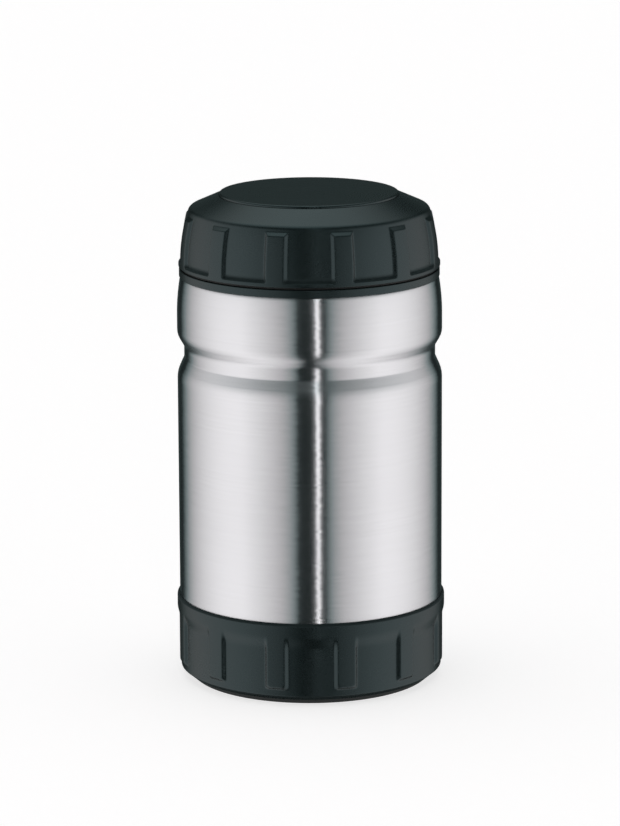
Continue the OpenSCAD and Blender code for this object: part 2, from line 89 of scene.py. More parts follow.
body_r = radius_of("outer_shell")
rim_r = radius_of("base_cup")
base_top = top_of("base_cup")
base_foot = foot_of("base_cup")
foot_r = radius_of("foot_ring")
shell_foot = foot_of("outer_shell")
weld_z = top_of("outer_shell")
lip_z = top_of("inner_vessel")
collar_r = radius_of("neck_collar")
collar_top = top_of("neck_collar")
lid_foot = foot_of("lid_shell")
lid_r = radius_of("lid_shell")
lid_top = top_of("lid_disc")
disc_r = radius_of("lid_disc")
disc_foot = foot_of("lid_disc")
print(f"body {2 * body_r:.1f} mm across, lid {2 * lid_r:.1f} mm, top at {lid_top:.1f} mm")

# %% [markdown]
# ## Outlines
# A machinist thinks of a turned piece as corners and corner radii, so the outline helper takes
# corners written as (radius, height) or (radius, height, rounding). Each rounding becomes a short
# arc. A support point just past each arc keeps the long faces from picking up its shading.

# %% Rounded corners
SUPPORT = 0.12       # distance of a support point from the end of a rounding, mm
ARC_STEP = 12        # largest turn between two points of a rounding, degrees


def arc(centre, radius, start, end, steps):
    """Points on an arc from angle start to angle end, in degrees."""
    angles = [math.radians(start + (end - start) * i / steps) for i in range(steps + 1)]
    return [(centre[0] + radius * math.cos(a), centre[1] + radius * math.sin(a)) for a in angles]


def round_corner(before, corner, after):
    """The points that stand in for one rounded corner."""
    here = Vector(corner[:2])
    back = Vector(before[:2]) - here
    ahead = Vector(after[:2]) - here
    half = back.angle(ahead) / 2
    reach = corner[2] / math.tan(half)
    points = []
    if back.length > reach + 2 * SUPPORT:
        points.append(here + back.normalized() * (reach + SUPPORT))
    inwards = (back.normalized() + ahead.normalized()).normalized()
    centre = here + inwards * corner[2] / math.sin(half)
    first = here + back.normalized() * reach - centre
    last = here + ahead.normalized() * reach - centre
    steps = max(2, math.ceil(math.degrees(first.angle(last)) / ARC_STEP))
    points += [centre + first.slerp(last, i / steps) * corner[2] for i in range(steps + 1)]
    if ahead.length > reach + 2 * SUPPORT:
        points.append(here + ahead.normalized() * (reach + SUPPORT))
    return [tuple(p) for p in points]


def rounded(corners, closed=True):
    """An outline in which each (radius, height, rounding) corner is rounded."""
    points = []
    count = len(corners)
    for i, corner in enumerate(corners):
        inner = closed or 0 < i < count - 1
        if len(corner) == 3 and inner:
            points += round_corner(corners[i - 1], corner, corners[(i + 1) % count])
        else:
            points.append(tuple(corner[:2]))
    return points


sample = rounded([(0, 0, 1), (9, 0, 1), (9, 9, 1), (0, 9, 1)])
print("a square with four rounded corners has", len(sample), "points")

# %% [markdown]
# ## Walls
# A drawn or moulded wall is equally thick everywhere, so its far side isn't drawn by hand. It is
# the near side moved out by the wall's thickness. At each point the two stretches that meet there
# share one direction, made longer where they bend, so that both keep their distance. A Solidify
# modifier does the same to a finished surface, but in the outline the far side can be joined to
# other stretches, such as a flange.

# %% Walls of even thickness
def offset(path, distance):
    """The path moved to its right by distance, with mitred corners."""
    moved = []
    for i, point in enumerate(path):
        sides = []
        for a, b in ((i - 1, i), (i, i + 1)):
            if 0 <= a and b < len(path):
                along = (Vector(path[b]) - Vector(path[a])).normalized()
                sides.append(Vector((along.y, -along.x)))
        normal = sum(sides, Vector((0, 0))) / (1 + sides[0].dot(sides[-1]))
        if len(sides) == 1:
            normal = sides[0]
        moved.append(tuple(Vector(point) + normal * distance))
    return moved


def sheet(path, thickness):
    """The closed outline of a wall: the path, and the path's far side on the way back."""
    return list(path) + offset(path, thickness)[::-1]


print("an L-shaped wall has", len(sheet([(0, 0), (9, 0), (9, 9)], 1)), "corners")

# %% [markdown]
# ## Node helpers
# The same few lines build every node tree here, for shapes and for finishes. `node` adds a node,
# sets its options and fills its inputs: a value is typed in, and a socket is linked.

# %% Node helpers
def node(tree, kind, inputs=None, **options):
    """Adds a node. Inputs are keyed by name or number, and hold a value or a socket."""
    made = tree.nodes.new(kind)
    for name, value in options.items():
        setattr(made, name, value)
    for key, value in (inputs or {}).items():
        if isinstance(value, bpy.types.NodeSocket):
            tree.links.new(value, made.inputs[key])
        else:
            made.inputs[key].default_value = value
    return made


def calc(tree, operation, *values):
    """A Math node's result."""
    return node(tree, "ShaderNodeMath", dict(enumerate(values)), operation=operation).outputs[0]


def remap(tree, value, low, high, new_low=0.0, new_high=1.0, kind="LINEAR"):
    """The value's way from low to high, as a way from new_low to new_high, clamped."""
    return node(tree, "ShaderNodeMapRange",
                {"Value": value, "From Min": low, "From Max": high,
                 "To Min": new_low, "To Max": new_high},
                interpolation_type=kind).outputs["Result"]


def new_group(name, kind, inputs, outputs):
    """A node group with named sockets, and its two end nodes."""
    tree = bpy.data.node_groups.new(name, kind)
    for label, socket, value in inputs:
        made = tree.interface.new_socket(label, in_out="INPUT", socket_type=socket)
        if value is not None:
            made.default_value = value
    for label, socket in outputs:
        tree.interface.new_socket(label, in_out="OUTPUT", socket_type=socket)
    return tree, tree.nodes.new("NodeGroupInput").outputs, tree.nodes.new("NodeGroupOutput")


ready(node, calc, remap, new_group)

# %% [markdown]
# ## Grids that are sent to their places
# Three trees make the round pieces, and they work alike. A grid has one row for each point of the
# outline and one column for each step round the axis, and each grid point is sent to its place.
# What the trees share comes first: reading a row's outline point, placing by radius, angle and
# height, copying round the axis, and the nodes that end every tree.

# %% Grid helpers
GEOMETRY = "NodeSocketGeometry"
FLOAT = "NodeSocketFloat"
INT = "NodeSocketInt"
MATERIAL = "NodeSocketMaterial"
WELD = 2e-6          # points nearer than this are one point, in metres
TURN_STEPS = 240     # columns of a turned piece, unless it names its own
HALF_A_STEP = 0.5    # a first copy that stands half a step from +X


def outline_point(tree, outline, columns):
    """For the grid's own points: the row's outline point, the row, and the column."""
    index = node(tree, "GeometryNodeInputIndex").outputs[0]
    middle = calc(tree, "ADD", index, 0.5)
    row = calc(tree, "FLOOR", calc(tree, "DIVIDE", middle, columns))
    column = calc(tree, "SUBTRACT", index, calc(tree, "MULTIPLY", row, columns))
    position = node(tree, "GeometryNodeInputPosition").outputs[0]
    point = node(tree, "GeometryNodeSampleIndex",
                 {"Geometry": outline, "Value": position, "Index": row},
                 data_type="FLOAT_VECTOR").outputs[0]
    return node(tree, "ShaderNodeSeparateXYZ", {0: point}).outputs, row, column


def turned_place(tree, grid, radius, angle, height):
    """The grid with each point sent to a radius, an angle and a height."""
    x = calc(tree, "MULTIPLY", radius, calc(tree, "COSINE", angle))
    y = calc(tree, "MULTIPLY", radius, calc(tree, "SINE", angle))
    place = node(tree, "ShaderNodeCombineXYZ", {"X": x, "Y": y, "Z": height}).outputs[0]
    return node(tree, "GeometryNodeSetPosition", {"Geometry": grid, "Position": place}).outputs[0]


def copies_round(tree, mesh, count, first_share):
    """The mesh placed count times round Z; the first copy stands first_share of a step from +X."""
    places = node(tree, "GeometryNodePoints", {"Count": count})
    index = node(tree, "GeometryNodeInputIndex").outputs[0]
    turn = calc(tree, "MULTIPLY", calc(tree, "ADD", index, first_share),
                calc(tree, "DIVIDE", math.tau, count))
    spin = node(tree, "ShaderNodeCombineXYZ", {"Z": turn}).outputs[0]
    copies = node(tree, "GeometryNodeInstanceOnPoints",
                  {"Points": places.outputs[0], "Instance": mesh, "Rotation": spin})
    return node(tree, "GeometryNodeRealizeInstances", {"Geometry": copies.outputs[0]}).outputs[0]


def welded(tree, mesh, finish):
    """The last nodes of each tree: merge, shade smooth, realize, and set the material."""
    merged = node(tree, "GeometryNodeMergeByDistance", {"Geometry": mesh, "Distance": WELD})
    smooth = node(tree, "GeometryNodeSetShadeSmooth", {"Geometry": merged.outputs[0]})
    real = node(tree, "GeometryNodeRealizeInstances", {"Geometry": smooth.outputs[0]})
    return node(tree, "GeometryNodeSetMaterial",
                {"Geometry": real.outputs[0], "Material": finish}).outputs[0]


ready(outline_point, turned_place, copies_round, welded)

# %% [markdown]
# ## Turning a piece round its axis
# A lathe's rule is: this outline, at every angle. The tree says it directly, and the grid's first
# and last columns, and its points on the axis, are merged at the end. The Screw modifier could turn
# an outline too, but a tree can do more on the way round, as the next one does.

# %% Turned piece
def turned_tree():
    """Turns an outline round Z."""
    tree, given, end = new_group(
        "turned_piece", "GeometryNodeTree",
        [("Outline", GEOMETRY, None), ("Steps", INT, TURN_STEPS), ("Finish", MATERIAL, None)],
        [("Mesh", GEOMETRY)])
    count = node(tree, "GeometryNodeAttributeDomainSize", {"Geometry": given["Outline"]})
    columns = calc(tree, "ADD", given["Steps"], 1)
    grid = node(tree, "GeometryNodeMeshGrid",
                {"Vertices X": count.outputs["Point Count"], "Vertices Y": columns})
    point, _, column = outline_point(tree, given["Outline"], columns)
    share = calc(tree, "DIVIDE", column, given["Steps"])
    angle = calc(tree, "MULTIPLY", share, math.tau)
    placed = turned_place(tree, grid.outputs["Mesh"], point["X"], angle, point["Z"])
    tree.links.new(welded(tree, placed, given["Finish"]), end.inputs[0])
    return tree


TURNED = turned_tree()
print("tree:", TURNED.name, "with", len(TURNED.nodes), "nodes")

# %% [markdown]
# ## Ribs round the axis
# The lid and the base are turned pieces with twelve grip ribs. Only one sector is made, with the
# rib in its middle, and it is placed twelve times. Each outline point carries two named numbers
# that describe the rib there. The columns crowd on the rib's sloping flanks, where the shape
# changes fastest, and stay wide apart elsewhere.

# %% Ribs in rows and columns
RELIEF = "relief"    # attribute: how far a rib stands out at this outline point, in metres
RISE = "rise"        # attribute: distance inside the rib's end, in flank widths
FLANK_INSIDE = 1.3   # the crowded columns reach this many flank widths into the rib
FLANK_OUTSIDE = 0.3  # and this many out of it


def named(tree, outline, label, row):
    """A named number of the outline's point in this row."""
    value = node(tree, "GeometryNodeInputNamedAttribute", {"Name": label}, data_type="FLOAT")
    return node(tree, "GeometryNodeSampleIndex",
                {"Geometry": outline, "Value": value.outputs["Attribute"], "Index": row},
                data_type="FLOAT").outputs[0]


def crowded(tree, given, column, half_width, half_sector):
    """Distance of a column from the rib's middle: face, flank and wall have their own columns."""
    face = given["Face columns"]
    flank = calc(tree, "ADD", face, given["Flank columns"])
    last = calc(tree, "ADD", flank, given["Wall columns"])
    away = calc(tree, "SUBTRACT", column, last)
    steps = calc(tree, "ABSOLUTE", away)
    inner = calc(tree, "SUBTRACT", half_width,
                 calc(tree, "MULTIPLY", given["Flank"], FLANK_INSIDE))
    outer = calc(tree, "ADD", half_width, calc(tree, "MULTIPLY", given["Flank"], FLANK_OUTSIDE))
    on_face = remap(tree, steps, 0.0, face, 0.0, inner)
    on_flank = remap(tree, steps, face, flank, 0.0, calc(tree, "SUBTRACT", outer, inner))
    on_wall = remap(tree, steps, flank, last, 0.0, calc(tree, "SUBTRACT", half_sector, outer))
    distance = calc(tree, "ADD", calc(tree, "ADD", on_face, on_flank), on_wall)
    return distance, calc(tree, "SIGN", away)


ready(named, crowded)

# %% [markdown]
# ## The ribbed tree
# A rib is a lift of the turned outline. Across the rib and along it, the lift rises over a flank.
# The smaller of the two rises counts, and it is cut off softly at nothing and at the full height.
# So sides, ends and corners all come out rounded from one formula, and no separate rib has to be
# joined on.

# %% Ribbed piece
def ribbed_tree():
    """Turns an outline round Z and lets ribs rise from it."""
    tree, given, end = new_group(
        "ribbed_piece", "GeometryNodeTree",
        [("Outline", GEOMETRY, None), ("Ribs", INT, 12), ("Wall radius", FLOAT, 0.05),
         ("Rib width", FLOAT, 0.01), ("Flank", FLOAT, 0.001), ("Edge softness", FLOAT, 0.25),
         ("Corner softness", FLOAT, 0.3), ("Face columns", INT, 4), ("Flank columns", INT, 8),
         ("Wall columns", INT, 7), ("Finish", MATERIAL, None)],
        [("Mesh", GEOMETRY)])
    outline = given["Outline"]
    half = calc(tree, "ADD", calc(tree, "ADD", given["Face columns"], given["Flank columns"]),
                given["Wall columns"])
    columns = calc(tree, "ADD", calc(tree, "MULTIPLY", half, 2), 1)
    count = node(tree, "GeometryNodeAttributeDomainSize", {"Geometry": outline})
    grid = node(tree, "GeometryNodeMeshGrid",
                {"Vertices X": count.outputs["Point Count"], "Vertices Y": columns})
    point, row, column = outline_point(tree, outline, columns)
    half_width = calc(tree, "DIVIDE", given["Rib width"], 2)
    half_sector = calc(tree, "DIVIDE", calc(tree, "MULTIPLY", given["Wall radius"], math.pi),
                       given["Ribs"])
    distance, side = crowded(tree, given, column, half_width, half_sector)
    angle = calc(tree, "MULTIPLY", side, calc(tree, "DIVIDE", distance, given["Wall radius"]))
    inside = calc(tree, "DIVIDE", calc(tree, "SUBTRACT", half_width, distance), given["Flank"])
    nearest = calc(tree, "SMOOTH_MIN", inside, named(tree, outline, RISE, row),
                   given["Corner softness"])
    soft = given["Edge softness"]
    height = calc(tree, "SMOOTH_MIN", calc(tree, "SMOOTH_MAX", nearest, 0.0, soft), 1.0, soft)
    lift = calc(tree, "MULTIPLY", height, named(tree, outline, RELIEF, row))
    radius = calc(tree, "ADD", point["X"], lift)
    sector = turned_place(tree, grid.outputs["Mesh"], radius, angle, point["Z"])
    whole = copies_round(tree, sector, given["Ribs"], HALF_A_STEP)
    tree.links.new(welded(tree, whole, given["Finish"]), end.inputs[0])
    return tree


RIBBED = ribbed_tree()
print("tree:", RIBBED.name, "with", len(RIBBED.nodes), "nodes")

# %% [markdown]
# ## Threads and springs
# A thread's ridge and a spring's wire are the same idea: a small section that climbs round an axis.
# A section swept along a helix curve would do too, but it tilts with the climb, and its ends need a
# taper of their own. In this tree the section's points are the grid's rows, and the steps along the
# climb are its columns. At both ends the section shrinks into one point. For a ridge that point
# lies inside the wall, so the ridge fades out as a moulded one does. A spring's first and last
# coils stay level, as if ground flat.

# %% Wound section
def wound_tree():
    """Sweeps a closed section along a helix round Z, once for each start."""
    tree, given, end = new_group(
        "wound_section", "GeometryNodeTree",
        [("Outline", GEOMETRY, None), ("Starts", INT, 1), ("First angle", FLOAT, 0.0),
         ("Turn", FLOAT, 2.0), ("Rise", FLOAT, 0.01), ("Foot height", FLOAT, 0.0),
         ("Root radius", FLOAT, 0.04), ("Sunk", FLOAT, 0.0), ("Fade", FLOAT, 0.25),
         ("Level ends", FLOAT, 0.0), ("Steps", INT, 90), ("Finish", MATERIAL, None)],
        [("Mesh", GEOMETRY)])
    count = node(tree, "GeometryNodeAttributeDomainSize", {"Geometry": given["Outline"]})
    columns = calc(tree, "ADD", given["Steps"], 1)
    grid = node(tree, "GeometryNodeMeshGrid",
                {"Vertices X": count.outputs["Point Count"], "Vertices Y": columns})
    point, _, column = outline_point(tree, given["Outline"], columns)
    turned = calc(tree, "MULTIPLY", calc(tree, "DIVIDE", column, given["Steps"]), given["Turn"])
    left = calc(tree, "SUBTRACT", given["Turn"], turned)
    nearest = calc(tree, "MINIMUM", turned, left)
    grown = remap(tree, nearest, 0.0, given["Fade"], kind="SMOOTHSTEP")
    level = given["Level ends"]
    climbed = remap(tree, turned, level, calc(tree, "SUBTRACT", given["Turn"], level),
                    0.0, given["Rise"])
    out = calc(tree, "MULTIPLY", calc(tree, "SUBTRACT", point["X"], given["Sunk"]), grown)
    radius = calc(tree, "ADD", calc(tree, "ADD", given["Root radius"], given["Sunk"]), out)
    height = calc(tree, "ADD", calc(tree, "ADD", given["Foot height"], climbed),
                  calc(tree, "MULTIPLY", point["Z"], grown))
    angle = calc(tree, "ADD", given["First angle"], turned)
    one = turned_place(tree, grid.outputs["Mesh"], radius, angle, height)
    whole = copies_round(tree, one, given["Starts"], 0.0)
    tree.links.new(welded(tree, whole, given["Finish"]), end.inputs[0])
    return tree


WOUND = wound_tree()
print("tree:", WOUND.name, "with", len(WOUND.nodes), "nodes")

# %% [markdown]
# ## An outline as an object
# A piece starts as its outline: a chain of points in the XZ plane, with the tree on it as a
# modifier. The tree's inputs are set by their identifiers, which stay the same when a socket is
# renamed.

# %% Outline objects
def chained(points):
    """An outline's points, back to the first one unless the outline starts and ends on the axis."""
    on_axis = points[0][0] == 0 and points[-1][0] == 0
    return points if on_axis else points + points[:1]


def outline_object(name, points, **attributes):
    """A chain of points in the XZ plane, in metres, with named numbers on them."""
    mesh = bpy.data.meshes.new(name)
    verts = [(x * MM, 0, z * MM) for x, z in points]
    mesh.from_pydata(verts, [(i, i + 1) for i in range(len(verts) - 1)], [])
    for label, values in attributes.items():
        mesh.attributes.new(label, "FLOAT", "POINT").data.foreach_set("value", values)
    made = bpy.data.objects.new(name, mesh)
    bpy.context.scene.collection.objects.link(made)
    return made


def run_tree(thing, tree, **values):
    """Puts the tree on an object as a modifier, with its inputs set by identifier."""
    modifier = thing.modifiers.new(tree.name, "NODES")
    modifier.node_group = tree
    sockets = {item.name: item.identifier for item in tree.interface.items_tree}
    for label, value in values.items():
        modifier[sockets[label.replace("_", " ")]] = value
    return thing


ready(chained, outline_object, run_tree)

# %% [markdown]
# ## From a tree to a plain mesh
# The modifier's result is copied into a plain mesh, and the outline is thrown away. The faces are
# turned outwards, and every edge that bends more than a given angle stays crisp. Booleans come
# after that, because they need closed meshes.

# %% Plain meshes
SHARP = math.radians(32)     # edges that bend more than this stay crisp


def plain_mesh(thing, name, sharp=SHARP):
    """The evaluated object as a new object with a plain mesh; the old one is removed."""
    graph = bpy.context.evaluated_depsgraph_get()
    mesh = bpy.data.meshes.new_from_object(thing.evaluated_get(graph))
    bpy.data.objects.remove(thing)
    shape = bmesh.new()
    shape.from_mesh(mesh)
    bmesh.ops.recalc_face_normals(shape, faces=shape.faces)
    shape.to_mesh(mesh)
    shape.free()
    mesh.shade_smooth()
    mesh.set_sharp_from_angle(angle=sharp)
    mesh.name = name
    made = bpy.data.objects.new(name, mesh)
    bpy.context.scene.collection.objects.link(made)
    return made


def combined(piece, operation, others, sharp=SHARP):
    """The piece with closed meshes joined on (UNION) or cut away (DIFFERENCE)."""
    name = piece.name
    for other in others:
        modifier = piece.modifiers.new(other.name, "BOOLEAN")
        modifier.operation = operation
        modifier.solver = "MANIFOLD"
        modifier.object = other
    made = plain_mesh(piece, name, sharp)
    for other in others:
        bpy.data.objects.remove(other)
    return made


def turn_up(name, outline, steps=TURN_STEPS):
    """A plain turned piece from an outline in mm."""
    chain = outline_object(name + "_outline", chained(outline))
    return plain_mesh(run_tree(chain, TURNED, Steps=steps), name)


ready(plain_mesh, combined, turn_up)

# %% [markdown]
# ## A piece's place in the frame
# A finished piece joins the frame by three calls. It rides on a body, and says which CAD node it
# stands for, so that the node is hidden. Its finish is given here too. The trees could set it by
# their own input, which stays empty, but a boolean can leave a piece with more than one slot.

# %% Place a piece
def place(piece, body, slot_name, finish, *nodes):
    """Gives the piece its finish and its place in the frame."""
    piece.data.materials.clear()
    piece.data.materials.append(finish)
    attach(piece, body)
    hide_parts(*nodes)
    triangles = sum(len(face.vertices) - 2 for face in piece.data.polygons)
    print(f"{piece.name}: {triangles} triangles on {body}, for {', '.join(nodes)}")


ready(place)

# %% [markdown]
# ## Finishes: shared effects
# Three effects are used by more than one finish: brushing lines, moulding grain and handling. Each
# is a node group that puts out heights and masks only, so that each material can decide what they
# do to it. Images could give these patterns too, but an image needs an unwrapped piece and turns
# coarse from near. Here all of them are noises over the object's own coordinates, so they move with
# the piece.

# %% Noise helpers
def object_place(tree):
    """Where a point is on the object, in metres."""
    return node(tree, "ShaderNodeTexCoord").outputs["Object"]


def noise(tree, vector, scale, detail=2.0, rough=0.5):
    """A noise's value at a place."""
    return node(tree, "ShaderNodeTexNoise",
                {"Vector": vector, "Scale": scale, "Detail": detail, "Roughness": rough}
                ).outputs["Fac"]


def squeezed(tree, along, across):
    """The object's place, scaled by along in X and Y and by across in Z."""
    size = node(tree, "ShaderNodeCombineXYZ", {"X": along, "Y": along, "Z": across}).outputs[0]
    return node(tree, "ShaderNodeVectorMath", {0: object_place(tree), 1: size},
                operation="MULTIPLY").outputs[0]


ready(object_place, noise, squeezed)

# %% [markdown]
# ## Brushing lines
# An abrasive belt leaves long thin streaks round the axis. A Wave texture draws lines too, but they
# never end, and they are all alike. A noise that is squeezed along Z looks like the streaks. Fine
# ones lie over a few coarser ones, because no belt's grit is even.

# %% Brushing group
FINE_SHARE = 0.85            # of the brushing's height; the coarse lines give the rest
COARSER = 3.5                # the coarse lines are this many times wider
BRUSH_RANGE = (0.6, 1.4)     # sums of the two noises that count as darkest and lightest


def brushing_group():
    """Streaks round the axis: a height for bump, and a tone from 0 to 1."""
    tree, given, end = new_group(
        "brushing", "ShaderNodeTree",
        [("Lines per metre", FLOAT, 2500.0), ("Line shortness", FLOAT, 40.0)],
        [("Height", FLOAT), ("Tone", FLOAT)])
    lines, short = given["Lines per metre"], given["Line shortness"]
    fine = noise(tree, squeezed(tree, short, lines), 1.0, detail=3.0, rough=0.6)
    wider = squeezed(tree, calc(tree, "DIVIDE", short, 2.0), calc(tree, "DIVIDE", lines, COARSER))
    coarse = noise(tree, wider, 1.0)
    height = calc(tree, "ADD", calc(tree, "MULTIPLY", fine, FINE_SHARE),
                  calc(tree, "MULTIPLY", coarse, 1 - FINE_SHARE))
    tree.links.new(height, end.inputs["Height"])
    tree.links.new(remap(tree, calc(tree, "ADD", fine, coarse), *BRUSH_RANGE), end.inputs["Tone"])
    return tree


BRUSHING = brushing_group()
print("group:", BRUSHING.name)

# %% [markdown]
# ## Moulding grain
# The steel mould of a plastic piece is eroded by sparks, which leaves low lumps and small pits. One
# noise alone would look like an orange's peel, so two patterns are added: a noise gives the lumps,
# and the distance to scattered points gives the pits.

# %% Grain group
LUMP_SHARE = 0.6             # of the grain's height; the pits give the rest
LUMP_RANGE = (0.3, 0.7)      # values of the noise that count as darkest and lightest


def grain_group():
    """The skin of moulded plastic: a height for bump, and a speckle from 0 to 1."""
    tree, given, end = new_group(
        "moulding_grain", "ShaderNodeTree", [("Grains per metre", FLOAT, 2500.0)],
        [("Height", FLOAT), ("Speckle", FLOAT)])
    where = object_place(tree)
    lumps = noise(tree, where, given["Grains per metre"], rough=0.6)
    pits = node(tree, "ShaderNodeTexVoronoi",
                {"Vector": where, "Scale": given["Grains per metre"]}).outputs["Distance"]
    height = calc(tree, "ADD", calc(tree, "MULTIPLY", lumps, LUMP_SHARE),
                  calc(tree, "MULTIPLY", pits, 1 - LUMP_SHARE))
    tree.links.new(height, end.inputs["Height"])
    tree.links.new(remap(tree, lumps, *LUMP_RANGE), end.inputs["Speckle"])
    return tree


GRAIN = grain_group()
print("group:", GRAIN.name)

# %% [markdown]
# ## Handling
# Hands and cloths leave some places a little duller than others. Such wear could be painted where
# the fingers go, but on a jar that is nearly new a soft, large noise is enough. It is used so
# faintly that it is felt more than seen.

# %% Handling group
PATCH_RANGE = (0.35, 0.7)    # values of the noise that count as clean and as worn


def handling_group():
    """Soft uneven patches left by hands and cloths, from 0 to 1."""
    tree, given, end = new_group(
        "handling", "ShaderNodeTree", [("Patches per metre", FLOAT, 30.0)], [("Dullness", FLOAT)])
    where = object_place(tree)
    patches = noise(tree, where, given["Patches per metre"], detail=4.0, rough=0.6)
    tree.links.new(remap(tree, patches, *PATCH_RANGE, kind="SMOOTHSTEP"), end.inputs["Dullness"])
    return tree


HANDLING = handling_group()
print("group:", HANDLING.name)

# %% [markdown]
# ## Finishes: material helpers
# Each material keeps its own shader. The effects reach it only through colour, roughness and bump.
# A value that is the same all over a piece is typed into the shader's own socket, because a linked
# constant would say the same with more nodes.

# %% Material helpers
def new_material(name, **shader_values):
    """A material with a Principled shader, and constants set on its own sockets."""
    material = bpy.data.materials.new(name)
    material.use_nodes = True
    shader = material.node_tree.nodes["Principled BSDF"]
    for label, value in shader_values.items():
        shader.inputs[label.replace("_", " ")].default_value = value
    return material, material.node_tree, shader


def effect(tree, group, **values):
    """A shared effect placed in a material, with its own values."""
    made = node(tree, "ShaderNodeGroup", node_tree=group)
    for label, value in values.items():
        made.inputs[label.replace("_", " ")].default_value = value
    return made.outputs


def bump(tree, shader, height, distance, strength, normal=None):
    """Feeds a height, and a changed normal if there is one, to the shader's normal."""
    made = node(tree, "ShaderNodeBump",
                {"Height": height, "Distance": distance, "Strength": strength})
    if normal is not None:
        tree.links.new(normal, made.inputs["Normal"])
    tree.links.new(made.outputs[0], shader.inputs["Normal"])


def blend(tree, amount, first, second):
    """A colour between two. A Mix node's colours are its inputs 6 and 7, and its output 2."""
    return node(tree, "ShaderNodeMix", {0: amount, 6: (*first, 1), 7: (*second, 1)},
                data_type="RGBA").outputs[2]


def tint(tree, shader, amount, dark, light):
    """Feeds a colour between dark and light to the base colour."""
    tree.links.new(blend(tree, amount, dark, light), shader.inputs["Base Color"])


ready(new_material, effect, bump, blend, tint)

# %% [markdown]
# ## Single scratches
# Among the brushing's fine lines are scratches that are seen one by one. Each tips the light a
# little sideways, which shows where a bright reflection meets a dark one, as a slightly ragged
# edge. Bump would tip it up and down, so the hairs change the normal along the tangent instead.

# %% Hair-thin scratches
HAIRS_PER_METRE = 1700.0     # scratches that are seen one by one, up the body
HAIR_SHORTNESS = 130.0       # and round it, so that a hair is some 8 mm long
HAIR_SWAY = 0.04             # how much a hair turns the light sideways


def swayed_normal(tree, tangent):
    """The surface's normal, tipped a little sideways in each hair-thin scratch."""
    hairs = noise(tree, squeezed(tree, HAIR_SHORTNESS, HAIRS_PER_METRE), 1.0)
    amount = calc(tree, "MULTIPLY", calc(tree, "SUBTRACT", hairs, 0.5), HAIR_SWAY)
    sideways = node(tree, "ShaderNodeVectorMath", {0: tangent, "Scale": amount},
                    operation="SCALE").outputs[0]
    normal = node(tree, "ShaderNodeNewGeometry").outputs["Normal"]
    tipped = node(tree, "ShaderNodeVectorMath", {0: normal, 1: sideways},
                  operation="ADD").outputs[0]
    return node(tree, "ShaderNodeVectorMath", {0: tipped}, operation="NORMALIZE").outputs[0]


print(f"hairs: {HAIRS_PER_METRE * MM:.1f} in a millimetre, {1 / HAIR_SHORTNESS / MM:.0f} mm long")

# %% [markdown]
# ## Brushed steel
# A belt has scratched the body all the way round, so a light is spread up and down, but hardly
# sideways. Bumped lines alone could do that only if they were finer than a pixel. So anisotropy
# does most of it, along a tangent that runs round the axis. The lines change tone, roughness and
# height a little, so the steel is lively from near and calm from afar.

# %% Brushed steel
STEEL_ROUGHNESS = (0.21, 0.24)
STEEL_WORN = 0.02            # handling adds up to this much roughness
BRUSH_DEPTH = 0.00001        # of the brushing lines, in metres


def brushed_steel():
    """The body's steel: scratched round the axis by a belt."""
    material, tree, shader = new_material(
        "brushed_steel", Metallic=1.0, Anisotropic=1.0, Anisotropic_Rotation=0.25)
    lines = effect(tree, BRUSHING, Lines_per_metre=4200.0, Line_shortness=18.0)
    worn = effect(tree, HANDLING, Patches_per_metre=25.0)
    tint(tree, shader, lines["Tone"], (0.62, 0.61, 0.627), (0.65, 0.64, 0.659))
    rough = calc(tree, "ADD", remap(tree, lines["Tone"], 0.0, 1.0, *STEEL_ROUGHNESS),
                 calc(tree, "MULTIPLY", worn["Dullness"], STEEL_WORN))
    tree.links.new(rough, shader.inputs["Roughness"])
    tangent = node(tree, "ShaderNodeTangent", direction_type="RADIAL", axis="Z").outputs[0]
    tree.links.new(tangent, shader.inputs["Tangent"])
    bump(tree, shader, lines["Height"], BRUSH_DEPTH, 0.3, swayed_normal(tree, tangent))
    return material


FINISH = {"brushed_steel": brushed_steel()}
print("finishes:", ", ".join(FINISH))

# %% [markdown]
# ## Plain steel
# The vessel and the hidden steel parts are drawn and polished. They have only faint lines, and
# spread light the same way in all directions. The same groups make this finish, with other values.

# %% Plain steel
def plain_steel():
    """Drawn and polished steel, for the vessel and the hidden steel parts."""
    material, tree, shader = new_material("plain_steel", Metallic=1.0)
    lines = effect(tree, BRUSHING, Lines_per_metre=1500.0, Line_shortness=80.0)
    worn = effect(tree, HANDLING, Patches_per_metre=40.0)
    tint(tree, shader, worn["Dullness"], (0.62, 0.62, 0.61), (0.70, 0.70, 0.70))
    tree.links.new(remap(tree, lines["Tone"], 0.0, 1.0, 0.20, 0.27), shader.inputs["Roughness"])
    bump(tree, shader, lines["Height"], BRUSH_DEPTH, 0.4)
    return material


FINISH["plain_steel"] = plain_steel()
print("finishes:", ", ".join(FINISH))

# %% [markdown]
# ## Plastics, rubber and silicone
# All moulded pieces share one recipe: a spark-eroded mould leaves a fine grain, and hands dull it
# in patches. Six materials built one by one would repeat the same nodes, so one function builds
# them from a table of colour, roughness and grain size. The black plastic's gloss is a little
# blue-green, so its specular tint is set. The narrow corners, which a mould maker can't polish, are
# marked by an attribute on the mesh, and turn matt.

# %% Plastics, rubber and silicone
MATT = "matt"                # attribute: 1 in the narrow corners that no polish reached
MATT_ROUGHNESS = 0.55        # added there
GRAIN_ROUGHNESS = 0.03       # the grain makes the roughness vary by this much
WORN_ROUGHNESS = 0.04        # and handling adds up to this much
GRAINS = 2500.0              # grains per metre, unless a finish names its own
GRAIN_DEPTH = 0.00002        # in metres


